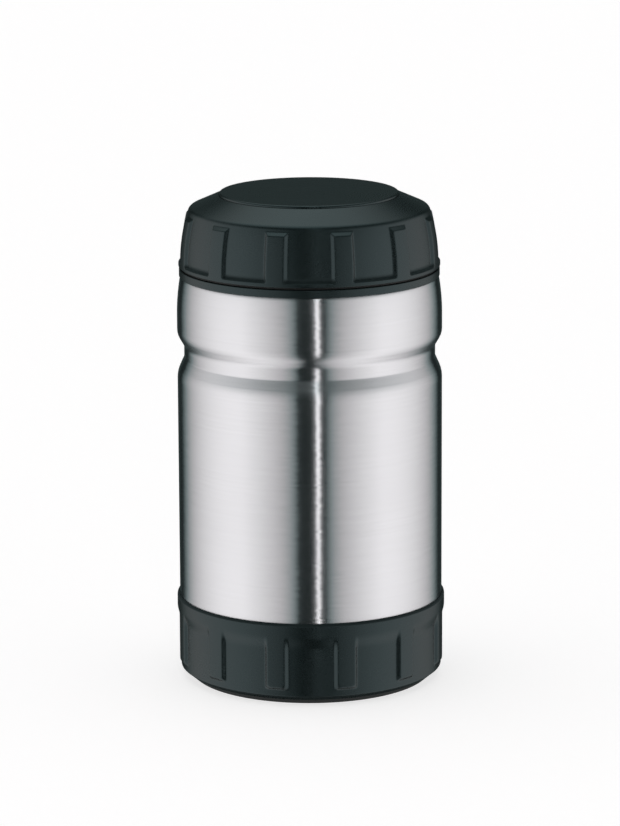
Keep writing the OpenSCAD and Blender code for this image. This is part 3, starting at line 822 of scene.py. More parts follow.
def moulded(name, dark, light, roughness, grains=GRAINS, depth=GRAIN_DEPTH, **shader_values):
    """A moulded finish: a fine skin of grain, patches dulled by handling, and matt corners."""
    material, tree, shader = new_material(name, **shader_values)
    skin = effect(tree, GRAIN, Grains_per_metre=grains)
    worn = effect(tree, HANDLING, Patches_per_metre=35.0)
    tint(tree, shader, calc(tree, "MULTIPLY", skin["Speckle"], worn["Dullness"]), dark, light)
    rough = calc(tree, "ADD",
                 remap(tree, skin["Speckle"], 0.0, 1.0, roughness - GRAIN_ROUGHNESS,
                       roughness + GRAIN_ROUGHNESS),
                 calc(tree, "MULTIPLY", worn["Dullness"], WORN_ROUGHNESS))
    matt = node(tree, "ShaderNodeAttribute", attribute_name=MATT).outputs["Fac"]
    rough = calc(tree, "ADD", rough, calc(tree, "MULTIPLY", matt, MATT_ROUGHNESS))
    tree.links.new(rough, shader.inputs["Roughness"])
    bump(tree, shader, skin["Height"], depth, 0.35)
    return material


MOULDED = {                  # darkest colour, lightest colour, roughness, and what is special
    "black_plastic": ((0.0045, 0.0075, 0.0072), (0.0065, 0.0100, 0.0097), 0.27,
                      {"Specular_Tint": (0.71, 0.95, 1.0, 1)}),
    "charcoal_plastic": ((0.045, 0.05, 0.052), (0.06, 0.066, 0.068), 0.45, {}),
    "grey_plastic": ((0.26, 0.28, 0.29), (0.31, 0.33, 0.34), 0.4, {}),
    "black_rubber": ((0.004, 0.005, 0.005), (0.008, 0.0095, 0.0095), 0.62,
                     {"grains": 1500.0, "depth": 0.00004}),
    "silicone": ((0.60, 0.62, 0.60), (0.68, 0.69, 0.67), 0.38,
                 {"grains": 1200.0, "Subsurface_Weight": 0.3, "Subsurface_Scale": 0.001}),
    "foam": ((0.74, 0.70, 0.52), (0.84, 0.80, 0.62), 0.9, {"grains": 900.0, "depth": 0.0003}),
}
for name, (dark, light, roughness, special) in MOULDED.items():
    FINISH[name] = moulded(name, dark, light, roughness, **special)
print("finishes:", ", ".join(MOULDED))

# %% [markdown]
# ## Copper foil and spring wire
# Two metals are left, and neither is brushed. The foil is crumpled when it is wrapped round the
# vessel. Its creases could be modelled, but it is hidden between the walls, so a rough noise that
# bends its normal is enough, and patches of it are duller. The wire has been pulled through a die,
# and shows only a fine speckle.

# %% Copper foil and spring wire
def copper_foil():
    """Thin foil with soft creases."""
    material, tree, shader = new_material("copper", Metallic=1.0)
    worn = effect(tree, HANDLING, Patches_per_metre=90.0)
    tint(tree, shader, worn["Dullness"], (0.72, 0.34, 0.20), (0.82, 0.46, 0.30))
    tree.links.new(remap(tree, worn["Dullness"], 0.0, 1.0, 0.22, 0.38), shader.inputs["Roughness"])
    creases = noise(tree, object_place(tree), 120.0, detail=5.0, rough=0.7)
    bump(tree, shader, creases, 0.0006, 0.5)
    return material


def spring_wire():
    """Drawn spring steel, with a fine speckle."""
    material, tree, shader = new_material("spring_wire", Metallic=1.0)
    skin = effect(tree, GRAIN, Grains_per_metre=6000.0)
    tint(tree, shader, skin["Speckle"], (0.48, 0.48, 0.49), (0.60, 0.60, 0.61))
    tree.links.new(remap(tree, skin["Speckle"], 0.0, 1.0, 0.24, 0.34), shader.inputs["Roughness"])
    bump(tree, shader, skin["Height"], 0.000008, 0.4)
    return material


FINISH["copper"] = copper_foil()
FINISH["spring_wire"] = spring_wire()
print("finishes in all:", len(FINISH))

# %% [markdown]
# ## The steel body
# The body is a drawn tube with one grip groove, rolled in by a wheel, so its floor is flat and its
# flanks run out in soft curves. Below the collar it leans in slightly, and inside the base it is
# drawn in to clear the plastic. A few loops under a Subdivision Surface could give such curves, but
# steel shows every flaw in its reflections. So the lean and the shoulder are exact arcs, worked out
# from the sizes.

# %% Body sizes
SHELL_WALL = 0.6
BODY_STEPS = 288             # more columns than other pieces have, for clean reflections
GROOVE_DEPTH = 2.8
BODY_TOP = 166.9             # where the steel that shows ends
GROOVE_MIDDLE = BODY_TOP - 30.8
GROOVE_FLOOR = 5.1           # height of its flat floor
GROOVE_LOWER = 6.2           # height of its lower flank
GROOVE_UPPER = 4.8           # height of its upper flank
GROOVE_ROUNDS = (10.7, 1.5, 3.0, 6.2)    # from the lower flank's lip to the upper flank's lip
SWAGE_IN = 2.35              # how far the body is drawn in inside the base
SWAGE_TOP = base_top - 1.6
SWAGE_ROUND = 0.6
LEAN_IN = 1.2                # how far the body leans in under the collar
LEAN_H = 14.8
LEAN_END = BODY_TOP - 1.2
SHOULDER_ROUND = 4.0
NECK_ROUND = 1.0             # where the shoulder turns up into the neck
LIP_W = 2.1                  # width of the mouth's rolled lip
MOUTH_R = body_r - 11.5
NECK_R = MOUTH_R + LIP_W
lean_r = (LEAN_H ** 2 + LEAN_IN ** 2) / (2 * LEAN_IN)
lean = math.asin(LEAN_H / lean_r)
shoulder = (body_r - LEAN_IN - SHOULDER_ROUND * math.cos(lean),
            LEAN_END - SHOULDER_ROUND * math.sin(lean))
print(f"groove {GROOVE_DEPTH} mm deep, top leaning in by {math.degrees(lean):.1f} degrees")

# %% [markdown]
# ## The body's outline
# The outline runs up the outside, from the foot to the neck. Straight stretches and rounded corners
# are listed, and the lean and the shoulder are arcs that meet without a bend. The wall is then one
# call of `sheet`.

# %% Body tube
def shell_path():
    """The outside of the steel body, from its foot to the neck's weld."""
    floor_r = body_r - GROOVE_DEPTH
    low = GROOVE_MIDDLE - GROOVE_FLOOR / 2
    high = GROOVE_MIDDLE + GROOVE_FLOOR / 2
    lower_lip, lower_corner, upper_corner, upper_lip = GROOVE_ROUNDS
    side = rounded([
        (body_r - SWAGE_IN, shell_foot), (body_r - SWAGE_IN, SWAGE_TOP - SWAGE_IN, SWAGE_ROUND),
        (body_r, SWAGE_TOP, SWAGE_ROUND), (body_r, low - GROOVE_LOWER, lower_lip),
        (floor_r, low, lower_corner), (floor_r, high, upper_corner),
        (body_r, high + GROOVE_UPPER, upper_lip), (body_r, LEAN_END - LEAN_H)], closed=False)
    side += arc((body_r - lean_r, LEAN_END - LEAN_H), lean_r, 0, math.degrees(lean), 10)[1:]
    side += arc(shoulder, SHOULDER_ROUND, math.degrees(lean), 90, 12)[1:]
    neck_turn = (NECK_R + NECK_ROUND, shoulder[1] + SHOULDER_ROUND + NECK_ROUND)
    side += arc(neck_turn, NECK_ROUND, 270, 180, 6)
    return side + [(NECK_R, weld_z)]


body = turn_up("body_tube", sheet(shell_path(), -SHELL_WALL), steps=BODY_STEPS)
place(body, "jar", "brushed_steel", FINISH["brushed_steel"], "outer_shell")

# %% [markdown]
# ## Ribbed pieces
# The rows of a ribbed outline carry two numbers each: how far the rib stands out there, and how far
# the row is inside the rib's end. Rows sit close together near a rib's ends, as the columns do at
# its flanks. A stretch without ribs gets zeros.

# %% Ribbed piece helper
RIBS = 12
RIB_W = 9.8                  # between the middles of its two flanks
FLANK = 1.35                 # width of a rib's sloping flank


def ribbed_up(name, rows, wall_r, **values):
    """A ribbed piece from rows of (radius, height, relief, rise), in mm."""
    rows = chained(rows)
    chain = outline_object(name + "_outline", [row[:2] for row in rows],
                           relief=[row[2] * MM for row in rows], rise=[row[3] for row in rows])
    sizes = {"Ribs": RIBS, "Rib_width": RIB_W * MM, "Flank": FLANK * MM, **values}
    run_tree(chain, RIBBED, Wall_radius=wall_r * MM, **sizes)
    return plain_mesh(chain, name)


def plain_rows(points):
    """Rows of a stretch that has no rib."""
    return [(x, z, 0.0, 0.0) for x, z in points]


def leave_matt(piece, is_matt):
    """Marks the points whose radius and height, in mm, lie in a corner that stays matt."""
    mask = piece.data.attributes.new(MATT, "FLOAT", "POINT")
    for point, value in zip(piece.data.vertices, mask.data):
        radius = math.hypot(point.co.x, point.co.y) / MM
        value.value = 1.0 if is_matt(radius, point.co.z / MM) else 0.0


def heights(start, end, step):
    """Evenly spaced heights from start to end, about one step apart."""
    count = max(1, round(abs(end - start) / step))
    return [start + (end - start) * i / count for i in range(count + 1)]


print(f"{RIBS} ribs of {RIB_W} mm, {360 / RIBS:.0f} degrees apart")

# %% [markdown]
# ## The base
# The base is a cup that the body is pressed into. A thicker rim hides the joint, and the ribs run
# from the rim down to a small step above the table. They fade into the bevel under the rim, because
# rib and rim stand out equally far. Twelve blocks could be joined to a plain cup, but the ribbed
# tree lets the ribs grow out of the wall without a seam.

# %% Base sizes
FIT = 0.05                   # gap round a piece that is pressed or welded into another
BASE_WALL_R = body_r - 0.25
RIM_Z = base_top - 5.0       # where the rim's upright face begins
RIM_BEVEL = 6.5              # height of the bevel under it
RIM_LEAN = 0.15              # the rim leans in by this much at its top
BASE_FLOOR = 2.0
BASE_LINER = 2.6             # wall inside the drawn-in foot of the body
BASE_RIB_FOOT = base_foot + 4.7
BASE_EDGE = base_foot + 2.1  # lower edge of the base's wall
EDGE_STEP = 1.0              # the underside is this much narrower than the wall
HOLLOW_R = 16.0              # a shallow round hollow in the middle of the underside
HOLLOW_H = 0.6
FOOT_W = 5.6
FOOT_GRIP = 1.0              # how deep the rubber foot sits in the base
print(f"base: ribs from {BASE_RIB_FOOT:.1f} mm up, rim from {RIM_Z:.1f} mm to {base_top:.1f} mm")

# %% [markdown]
# ## The base's outline
# The outline starts in the middle of the underside, goes out round the groove for the rubber foot,
# up the wall and over the rim, and back inside. Only the wall carries ribs. Its radius swells into
# the rim along a soft S curve, and the ribs stand out by whatever is left, so they end by
# themselves where the rim is reached.

# %% Base cup
def base_rows():
    """The base's outline, counter-clockwise from the middle of its underside."""
    bevel_z = RIM_Z - RIM_BEVEL
    inner_r = body_r - SWAGE_IN
    groove_out = foot_r + FIT
    under = rounded([
        (0, base_foot + HOLLOW_H), (HOLLOW_R, base_foot + HOLLOW_H, 0.5),
        (HOLLOW_R + HOLLOW_H, base_foot, 0.3), (groove_out - FOOT_W, base_foot, 0.2),
        (groove_out - FOOT_W, base_foot + FOOT_GRIP), (groove_out, base_foot + FOOT_GRIP),
        (groove_out, base_foot, 0.2), (BASE_WALL_R - EDGE_STEP + 0.05, BASE_EDGE - 0.5, 0.4),
        (BASE_WALL_R - EDGE_STEP, BASE_EDGE - 0.1), (BASE_WALL_R, BASE_EDGE, 0.4),
        (BASE_WALL_R, BASE_EDGE + 1.2)], closed=False)
    zs = heights(BASE_EDGE + 1.4, BASE_RIB_FOOT + 3.0, 0.25)
    zs += heights(BASE_RIB_FOOT + 3.0, bevel_z, 2.0)[1:] + heights(bevel_z, RIM_Z, 0.4)[1:-1]
    wall = []
    for z in zs:
        along = max(0.0, z - bevel_z) / RIM_BEVEL
        radius = BASE_WALL_R + (rim_r - BASE_WALL_R) * along * along * (3 - 2 * along)
        wall.append((radius, z, rim_r - radius, (z - BASE_RIB_FOOT) / FLANK))
    rim = rounded([
        (rim_r, RIM_Z), (rim_r, RIM_Z + 0.3), (rim_r, base_top - 1.2),
        (rim_r - RIM_LEAN, base_top, 0.75), (body_r + FIT, base_top, 0.15),
        (body_r + FIT, SWAGE_TOP - 2 * FIT), (inner_r + 2 * FIT, SWAGE_TOP - SWAGE_IN),
        (inner_r + 2 * FIT, shell_foot), (inner_r - BASE_LINER, shell_foot),
        (inner_r - BASE_LINER, base_foot + BASE_FLOOR), (0, base_foot + BASE_FLOOR)], closed=False)
    return plain_rows(under) + wall + plain_rows(rim)


def in_base_corner(r, z):
    """Whether a point of the base lies on the rim's top edge or in the step under the wall."""
    on_rim = r > body_r and z > base_top - 0.8
    return on_rim or BASE_EDGE - 0.6 < z < BASE_EDGE + 0.1


base = ribbed_up("ribbed_base", base_rows(), BASE_WALL_R, Corner_softness=1.6)
leave_matt(base, in_base_corner)
place(base, "jar", "black_plastic", FINISH["black_plastic"], "base_cup")

# %% [markdown]
# ## The rubber foot
# A rubber ring under the base keeps the jar from sliding. It is pressed into a groove, and only its
# lower part shows, as a dark line at the table. A flattened torus could stand in for it, but this
# ring has a level sole and a sloping side, so it is turned like the other pieces. It is small, and
# needs fewer columns than the body does.

# %% Rubber foot
SMALL_STEPS = 192            # columns of a smaller turned piece
TINY_STEPS = 96              # and of a very small one
FOOT_EDGE = 0.6
FOOT_SLOPE = 2.3             # the foot narrows by this much towards the table
foot_in = foot_r - FOOT_W + 2 * FIT
foot = turn_up("rubber_foot", rounded([
    (foot_in, base_foot + FOOT_GRIP), (foot_in, 0, FOOT_EDGE), (foot_r - FOOT_SLOPE, 0, 0.9),
    (foot_r, base_foot, 0.4), (foot_r, base_foot + FOOT_GRIP)]), steps=SMALL_STEPS)
place(foot, "jar", "black_rubber", FINISH["black_rubber"], "foot_ring")

# %% [markdown]
# ## The inner vessel
# The food touches this wall. It is drawn from one sheet, necked in below the mouth, and rolled
# outwards into a lip that meets the outer shell. A hollow could be cut out of a solid instead, but
# a path with a wall is how the real one is made, and keeps its thickness everywhere. A vacuum lies
# between the two walls, with a copper foil in it that turns heat back.

# %% Inner vessel
VESSEL_WALL = 0.5
VACUUM = 6.4                 # width of the gap between the walls
VESSEL_R = body_r - SHELL_WALL - VACUUM - VESSEL_WALL
VESSEL_CORNER = 12.0
NECKING = (BODY_TOP - 9.0, BODY_TOP - 1.0)    # heights where the vessel narrows to the mouth
NECKING_ROUND = 7.0

vessel_z = foot_of("inner_vessel") + VESSEL_WALL
lip_at = (MOUTH_R + LIP_W / 2, lip_z - LIP_W / 2)
vessel_path = rounded([
    (0, vessel_z), (VESSEL_R, vessel_z, VESSEL_CORNER), (VESSEL_R, NECKING[0], NECKING_ROUND),
    (MOUTH_R, NECKING[1], NECKING_ROUND), lip_at], closed=False)[:-1]
vessel_path += arc(lip_at, LIP_W / 2, 180, 0, 12) + [(NECK_R, weld_z)]
vessel = turn_up("inner_vessel_wall", sheet(vessel_path, VESSEL_WALL))
place(vessel, "jar", "plain_steel", FINISH["plain_steel"], "inner_vessel")

# %% [markdown]
# ## Thread sizes
# Both threads have three starts, so the lid is off in little more than half a turn. The sizes run
# from the outside in: each ridge stops a clearance short of the wall that it faces.

# %% Thread helper
STARTS = 3
LEAD = 15.0                  # rise in one full turn
PITCH = LEAD / STARTS
LID_THREAD = 1.6             # depth of the thread between lid and collar
STOPPER_THREAD = 1.3         # depth of the thread between stopper and collar
THREAD_GAP = 0.4
RIDGE_ROOT = 2.4
RIDGE_CREST = 1.1
RIDGE_EDGE = 0.25
SUNK = 0.4                   # the ridges' roots lie this deep in their wall
RIDGE_FADE = math.radians(18)
FIRST_RIDGE = math.radians(11)
RIDGE_STEP = math.radians(3)
LINER_BORE = 47.98           # radius of the lid's lining, which the collar's sleeve fits
SLEEVE_R = LINER_BORE - LID_THREAD - THREAD_GAP
BARREL_R = MOUTH_R - 2 * FIT
BORE_R = BARREL_R + STOPPER_THREAD + THREAD_GAP


def ridges(name, root_r, depth, foot_z, top_z):
    """Thread ridges from foot_z to top_z. They stand outwards, or inwards if depth is negative."""
    side = math.copysign(1, depth)
    root = RIDGE_ROOT / 2 + SUNK * (RIDGE_ROOT - RIDGE_CREST) / 2 / abs(depth)
    section = rounded([(-side * SUNK, -root), (depth, -RIDGE_CREST / 2, RIDGE_EDGE),
                       (depth, RIDGE_CREST / 2, RIDGE_EDGE), (-side * SUNK, root)])
    turn = math.tau * (top_z - foot_z) / LEAD
    chain = outline_object(name + "_outline", chained(section))
    run_tree(chain, WOUND, Starts=STARTS, First_angle=FIRST_RIDGE, Turn=turn,
             Rise=(top_z - foot_z) * MM, Foot_height=foot_z * MM, Root_radius=root_r * MM,
             Sunk=-side * SUNK * MM, Fade=RIDGE_FADE, Steps=round(turn / RIDGE_STEP))
    return plain_mesh(chain, name)


print(f"threads: {STARTS} starts, {PITCH:.1f} mm between ridges, {LEAD:.0f} mm in a full turn")

# %% [markdown]
# ## The collar
# The collar is pressed over the steel neck and never comes off. Only its band shows when the jar is
# closed. Above the band stands a sleeve with the two threads: the lid's outside, the stopper's
# inside. The ridges could be left as loose pieces that stand in the wall. A boolean joins them on
# instead, so the collar is one closed mesh.

# %% Collar
BAND_FOOT = BODY_TOP + 0.2   # the band that shows, from its foot
BAND_TOP = BODY_TOP + 3.4    # to its top
NECK_FOOT = shoulder[1] + SHOULDER_ROUND
COLLAR_SEAT = 0.1            # gap between the collar and the steel
OUTER_RIDGES = (BAND_TOP + 3.4, collar_top - 3.6)      # heights where the lid's ridges run
BORE_RIDGES = (lip_z + 2.1, collar_top - 1.9)          # and the stopper's

seat_end = math.degrees(math.asin((BAND_FOOT - shoulder[1]) / (SHOULDER_ROUND + COLLAR_SEAT)))
seat_r = NECK_R + COLLAR_SEAT
collar_outline = rounded([
    (SLEEVE_R, BAND_TOP, 0.3), (SLEEVE_R, collar_top, 0.5), (BORE_R, collar_top, 0.3),
    (BORE_R, lip_z + COLLAR_SEAT), (seat_r, lip_z + COLLAR_SEAT), (seat_r, NECK_FOOT + NECK_ROUND)])
collar_outline += arc((NECK_R + NECK_ROUND, NECK_FOOT + NECK_ROUND), NECK_ROUND - COLLAR_SEAT,
                      180, 270, 6)
collar_outline += arc(shoulder, SHOULDER_ROUND + COLLAR_SEAT, 90, seat_end, 10)
collar_outline += rounded([
    collar_outline[-1], (collar_r, BAND_FOOT, 0.3), (collar_r, BAND_TOP, 0.35),
    (SLEEVE_R + 0.5, BAND_TOP)], closed=False)[1:]
collar = combined(turn_up("collar_ring", collar_outline), "UNION", [
    ridges("outer_ridges", SLEEVE_R, LID_THREAD, *OUTER_RIDGES),
    ridges("bore_ridges", BORE_R, -STOPPER_THREAD, *BORE_RIDGES)])
place(collar, "jar", "black_plastic", FINISH["black_plastic"], "neck_collar")

# %% [markdown]
# ## The lid
# The lid's shell has a lower band, a bevelled ledge, a leaning wall with ribs, a soft crease, and a
# conical shoulder that ends in a seat for the disc. The ribs stand out as far as the band does, so
# band and ribs read as one frame round twelve sunk panels. The panels could be cut into a thicker
# wall, but ribs that rise from a thinner one need no cut, and all their edges stay soft.

# %% Lid sizes
LID_WALL = 1.5
GASKET_GROOVE = 0.9          # depth of the groove for the gasket in the lid's foot
LID_BAND_H = 1.4
LID_LEDGE_H = 0.9            # height of the bevel above the band
RIB_RELIEF = 1.25
RIB_TOP = 2.1                # the ribs end this far under the crease
CREASE_IN = 4.4              # how far the wall leans in up to the crease
CREASE_ROUND = 2.5
CREASE_REACH = 1.55          # the crease's rounding starts this far under it
SHOULDER_H = 6.4
SHOULDER_W = 11.9
DISC_STEP = 1.1              # the disc stands this much above the cone's head
SHELL_ROOF = disc_foot - LID_WALL
WALL_R = lid_r - RIB_RELIEF
wall_z = lid_foot + LID_BAND_H + LID_LEDGE_H
crease = (lid_r - CREASE_IN, lid_top - SHOULDER_H)
cone_head = (crease[0] - SHOULDER_W, lid_top - DISC_STEP)
gasket_in = WALL_R - LID_WALL + 0.5
gasket_out = lid_r - 1.1
print(f"lid: {lid_top - lid_foot:.1f} mm high, ribs up to {crease[1] - RIB_TOP:.1f} mm")

# %% [markdown]
# ## The lid's wall and cone
# Above the ledge the wall leans in along one large arc, and the cone starts at the crease where the
# arc ends. The lid's inside and its lining follow the same two shapes further in, so both are
# functions that take an inset.

# %% Leaning wall and cone
def lid_wall_r(z, inset=0.0):
    """Radius of the lid's leaning wall at a height; the wall is one large arc."""
    rise = crease[1] - wall_z
    lean = WALL_R - crease[0]
    big = (rise ** 2 + lean ** 2) / (2 * lean)
    return WALL_R - big + math.sqrt((big - inset) ** 2 - (z - wall_z) ** 2)


def under_cone(inset, roof_z):
    """The crease's corner moved in by inset, and where the cone, moved in as far, meets a roof."""
    path = [(lid_wall_r(crease[1] - 0.2), crease[1] - 0.2), crease, cone_head]
    corner, end = offset(path, -inset)[1:]
    along = (roof_z - corner[1]) / (end[1] - corner[1])
    return corner, (corner[0] + along * (end[0] - corner[0]), roof_z)


ready(lid_wall_r, under_cone)

# %% [markdown]
# ## The lid's shell
# The outline goes from the roof's middle down inside, round the gasket's groove, and up outside.
# The rows of the wall carry the ribs. They sit close together where a rib ends, and further apart
# where it only runs on. On the ledge a rib stands out as far as the band, and above it by its own
# relief.

# %% Lid shell
def lid_rows():
    """The lid shell's outline, from the middle of its roof down inside and up outside."""
    band_top = lid_foot + LID_BAND_H
    rib_top = crease[1] - RIB_TOP
    band = [(WALL_R - LID_WALL, lid_foot), (gasket_in, lid_foot),
            (gasket_in, lid_foot + GASKET_GROOVE), (gasket_out, lid_foot + GASKET_GROOVE)]
    band += rounded([(gasket_out, lid_foot), (lid_r, lid_foot, 0.4), (lid_r, band_top - 0.2),
                     (lid_r, band_top)], closed=False)
    zs = heights(band_top, wall_z, 0.25)[1:] + heights(wall_z, rib_top - 3.0, 1.5)[1:]
    zs += heights(rib_top - 3.0, rib_top + 0.5, 0.2)[1:]
    wall = []
    for z in zs:
        plain = lid_r - (lid_r - WALL_R) * min(1.0, (z - band_top) / LID_LEDGE_H)
        radius = plain if z < wall_z else lid_wall_r(z)
        relief = lid_r - radius if z < wall_z else RIB_RELIEF
        wall.append((radius, z, relief, (rib_top - z) / FLANK))
    top = rounded([
        (lid_wall_r(crease[1] - CREASE_REACH), crease[1] - CREASE_REACH), (*crease, CREASE_ROUND),
        (*cone_head, 0.3), (disc_r + FIT, cone_head[1], 0.2), (disc_r + FIT, disc_foot),
        (0, disc_foot)], closed=False)
    corner, roof = under_cone(LID_WALL, SHELL_ROOF)
    inside = [(0, SHELL_ROOF), roof, corner]
    inside += [(lid_wall_r(z, LID_WALL), z) for z in heights(crease[1] - 2.0, wall_z, 3.0)]
    return plain_rows(inside + band) + wall + plain_rows(top)


def in_lid_corner(r, z):
    """Whether a point of the lid lies on the bevel between the band and a sunk panel."""
    return r < lid_r - 0.1 and lid_foot + LID_BAND_H < z < wall_z + 0.1


lid = ribbed_up("ribbed_lid", lid_rows(), WALL_R, Corner_softness=0.35)
leave_matt(lid, in_lid_corner)
place(lid, "lid", "black_plastic", FINISH["black_plastic"], "lid_shell")

# %% [markdown]
# ## The lid's disc
# A separate plate is glued into the seat. Its edge is rounded more than the seat's, so a thin dark
# line runs round it. It could be a feature of the lid's outline, but as its own piece it keeps that
# real gap.

# %% Lid disc
DISC_ROUND = 0.8
disc = turn_up("lid_plate", rounded([
    (0, disc_foot), (disc_r, disc_foot), (disc_r, lid_top, DISC_ROUND), (0, lid_top)]),
    steps=SMALL_STEPS)
place(disc, "lid", "black_plastic", FINISH["black_plastic"], "lid_disc")

# %% [markdown]
# ## The lid's lining
# Turned over, the lid is a bowl, so it has a smooth lining with an air gap behind it. The lining
# carries the lid's thread, and a flange at its foot is welded to the shell. Its outside is its
# inside moved out by the wall, and above the thread it follows the lid's own lean.

# %% Lid lining
LINER_WALL = 1.2
AIR_GAP = 0.6                # between the lining and the lid's wall
ROOF_GAP = 1.2               # and under the lid's roof
LINER_IN = LID_WALL + AIR_GAP + LINER_WALL   # the lining's inside, in from the lid's outer wall
LINER_ROOF = SHELL_ROOF - ROOF_GAP - LINER_WALL
LINER_BEND = collar_top - 0.5                # above this height the lining leans in
LINER_RIDGES = (OUTER_RIDGES[0] + PITCH / 2, OUTER_RIDGES[0] + PITCH / 2 + LEAD / 4)

liner_foot = foot_of("lid_liner")
liner_corner, liner_cone = under_cone(LINER_IN, LINER_ROOF)
bowl = [(LINER_BORE, liner_foot), (LINER_BORE, LINER_BEND, 3.0)]
bowl += [(lid_wall_r(LINER_BEND + up, LINER_IN), LINER_BEND + up) for up in (2.0, 3.0, 4.0)]
bowl += [(*liner_corner, 2.0), (*liner_cone, 3.0), (0, LINER_ROOF)]
bowl = rounded(bowl, closed=False)
flange_out = WALL_R - LID_WALL - FIT
flange = [(flange_out, liner_foot), (flange_out, wall_z), (LINER_BORE + LINER_WALL, wall_z)]
liner_outline = bowl[::-1] + flange + offset(bowl, LINER_WALL)[1:]
liner = combined(turn_up("lid_lining", liner_outline), "UNION", [
    ridges("lid_ridges", LINER_BORE, -LID_THREAD, *LINER_RIDGES)])
place(liner, "lid", "charcoal_plastic", FINISH["charcoal_plastic"], "lid_liner")

# %% [markdown]
# ## The lid's gasket
# A rubber ring fills the groove in the lid's foot and touches the collar's band, so it closes the
# hair-thin gap between them. From outside it only makes that gap black. Its section is a box with
# two rounded corners.

# %% Lid gasket
GASKET_ROUND = 0.2
seal_foot_z, seal_top_z = BAND_TOP + FIT, lid_foot + GASKET_GROOVE - FIT
gasket = turn_up("lid_seal", rounded([
    (gasket_in + FIT, seal_foot_z, GASKET_ROUND), (gasket_out - FIT, seal_foot_z, GASKET_ROUND),
    (gasket_out - FIT, seal_top_z), (gasket_in + FIT, seal_top_z)]))
place(gasket, "lid_ring", "black_rubber", FINISH["black_rubber"], "lid_gasket")

# %% [markdown]
# ## The stopper
# The stopper is a hollow barrel filled with foam. Its thread grips the collar's bore, and its plug
# reaches down into the steel mouth with a silicone seal round it. The notched flange and the two
# finger pockets in the cover are there to turn it by.

# %% Stopper sizes
PLUG_R = MOUTH_R - 0.9       # the part that reaches into the steel mouth
SEAL_FOOT = lip_z - 7.0
SEAL_H = 3.9                 # height of the seal's groove
SEAL_ROOT = PLUG_R - 1.7     # radius of the groove's bottom
CAVITY_R = SEAL_ROOT - 1.9   # radius of the hollow that holds the foam
GUIDE_R = 2.5                # hole that guides the valve's stem
CHIMNEY_R = 7.15             # tube round the valve's spring
CHIMNEY_BORE = 5.35
SPRING_SEAT = foot_of("stopper_barrel") + 4.0
BARREL_FLOOR = 2.0
FLANGE_T = 2.3
NOTCHES = 24
NOTCH_W = 2.5
NOTCH_DEPTH = 0.64
NOTCH_FLANK = 0.6
WELL_INSIDE = 9.0            # a rise this large is far from any end of a notch

plug_foot = foot_of("stopper_barrel")
flange_r = radius_of("stopper_barrel")
flange_z = top_of("stopper_barrel") - FLANGE_T
edge = flange_r - NOTCH_DEPTH
cover_top = top_of("stopper_cover")
cover_foot = foot_of("stopper_cover")
print(f"plug {2 * PLUG_R:.1f} mm across, reaching {lip_z - plug_foot:.1f} mm below the mouth")

# %% [markdown]
# ## The stopper's barrel
# One outline goes round the whole barrel: the plug and its groove, the notched flange, the hollow
# for the foam, and the chimney round the valve's spring. The notches could be cut by booleans, all
# twenty-four of them. Here they are ribs of the same tree with a lift below nothing: inside a
# notch, whatever stands out further is taken back to its floor.

# %% Stopper barrel
def notched(points):
    """Rows whose points near the flange's edge are cut back inside each notch."""
    return [(x, z, min(0.0, edge - x), WELL_INSIDE) for x, z in points]


barrel_low = rounded([
    (GUIDE_R, plug_foot), (PLUG_R, plug_foot, 1.0), (PLUG_R, SEAL_FOOT, 0.15),
    (SEAL_ROOT, SEAL_FOOT), (SEAL_ROOT, SEAL_FOOT + SEAL_H), (PLUG_R, SEAL_FOOT + SEAL_H, 0.15),
    (PLUG_R, lip_z + 0.3, 0.2), (BARREL_R, lip_z + 0.6, 0.2), (BARREL_R, flange_z)], closed=False)
barrel_edge = rounded([
    (edge, flange_z), (flange_r, flange_z, 0.35), (flange_r, flange_z + FLANGE_T, 0.45),
    (edge, flange_z + FLANGE_T)], closed=False)
barrel_in = [
    (CAVITY_R, flange_z + FLANGE_T), (CAVITY_R, plug_foot + BARREL_FLOOR),
    (CHIMNEY_R, plug_foot + BARREL_FLOOR), (CHIMNEY_R, cover_foot), (CHIMNEY_BORE, cover_foot),
    (CHIMNEY_BORE, SPRING_SEAT), (GUIDE_R, SPRING_SEAT)]
barrel_rows = plain_rows(barrel_low) + notched(barrel_edge) + plain_rows(barrel_in)
barrel = ribbed_up("stopper_body", barrel_rows, flange_r, Ribs=NOTCHES, Rib_width=NOTCH_W * MM,
                   Flank=NOTCH_FLANK * MM, Face_columns=2, Flank_columns=5, Wall_columns=2)
barrel = combined(barrel, "UNION", [
    ridges("stopper_ridges", BARREL_R, STOPPER_THREAD, BORE_RIDGES[0] + PITCH / 2, BORE_RIDGES[1])])
place(barrel, "stopper", "charcoal_plastic", FINISH["charcoal_plastic"], "stopper_barrel")

# %% [markdown]
# ## The finger pockets
# Two D-shaped pockets are cut into the stopper's cover, and what stays between them is the grip.
# One function gives a D with round corners. It can be moved in or out, with its roundings, and
# always has the same number of points, so that several Ds can be joined by faces.

# %% D outline of a pocket
POCKET_R = CAVITY_R - 1.8
BAR_W = 25.0                 # width of the grip between the pockets
POCKET_FLOOR = cover_top - 7.4
POCKET_CORNER = 3.0
POCKET_RIM = 0.6             # rounding of the pocket's upper edge
POCKET_FILLET = 1.8          # rounding of the pocket's floor
RIM_ANGLES = range(72, -1, -12)          # in degrees, from the mouth down
FLOOR_ANGLES = range(0, 91, 15)
CUTTER_MOUTH = (1.5, 0.35)   # the cutter's top is this much wider, and this far above the cover


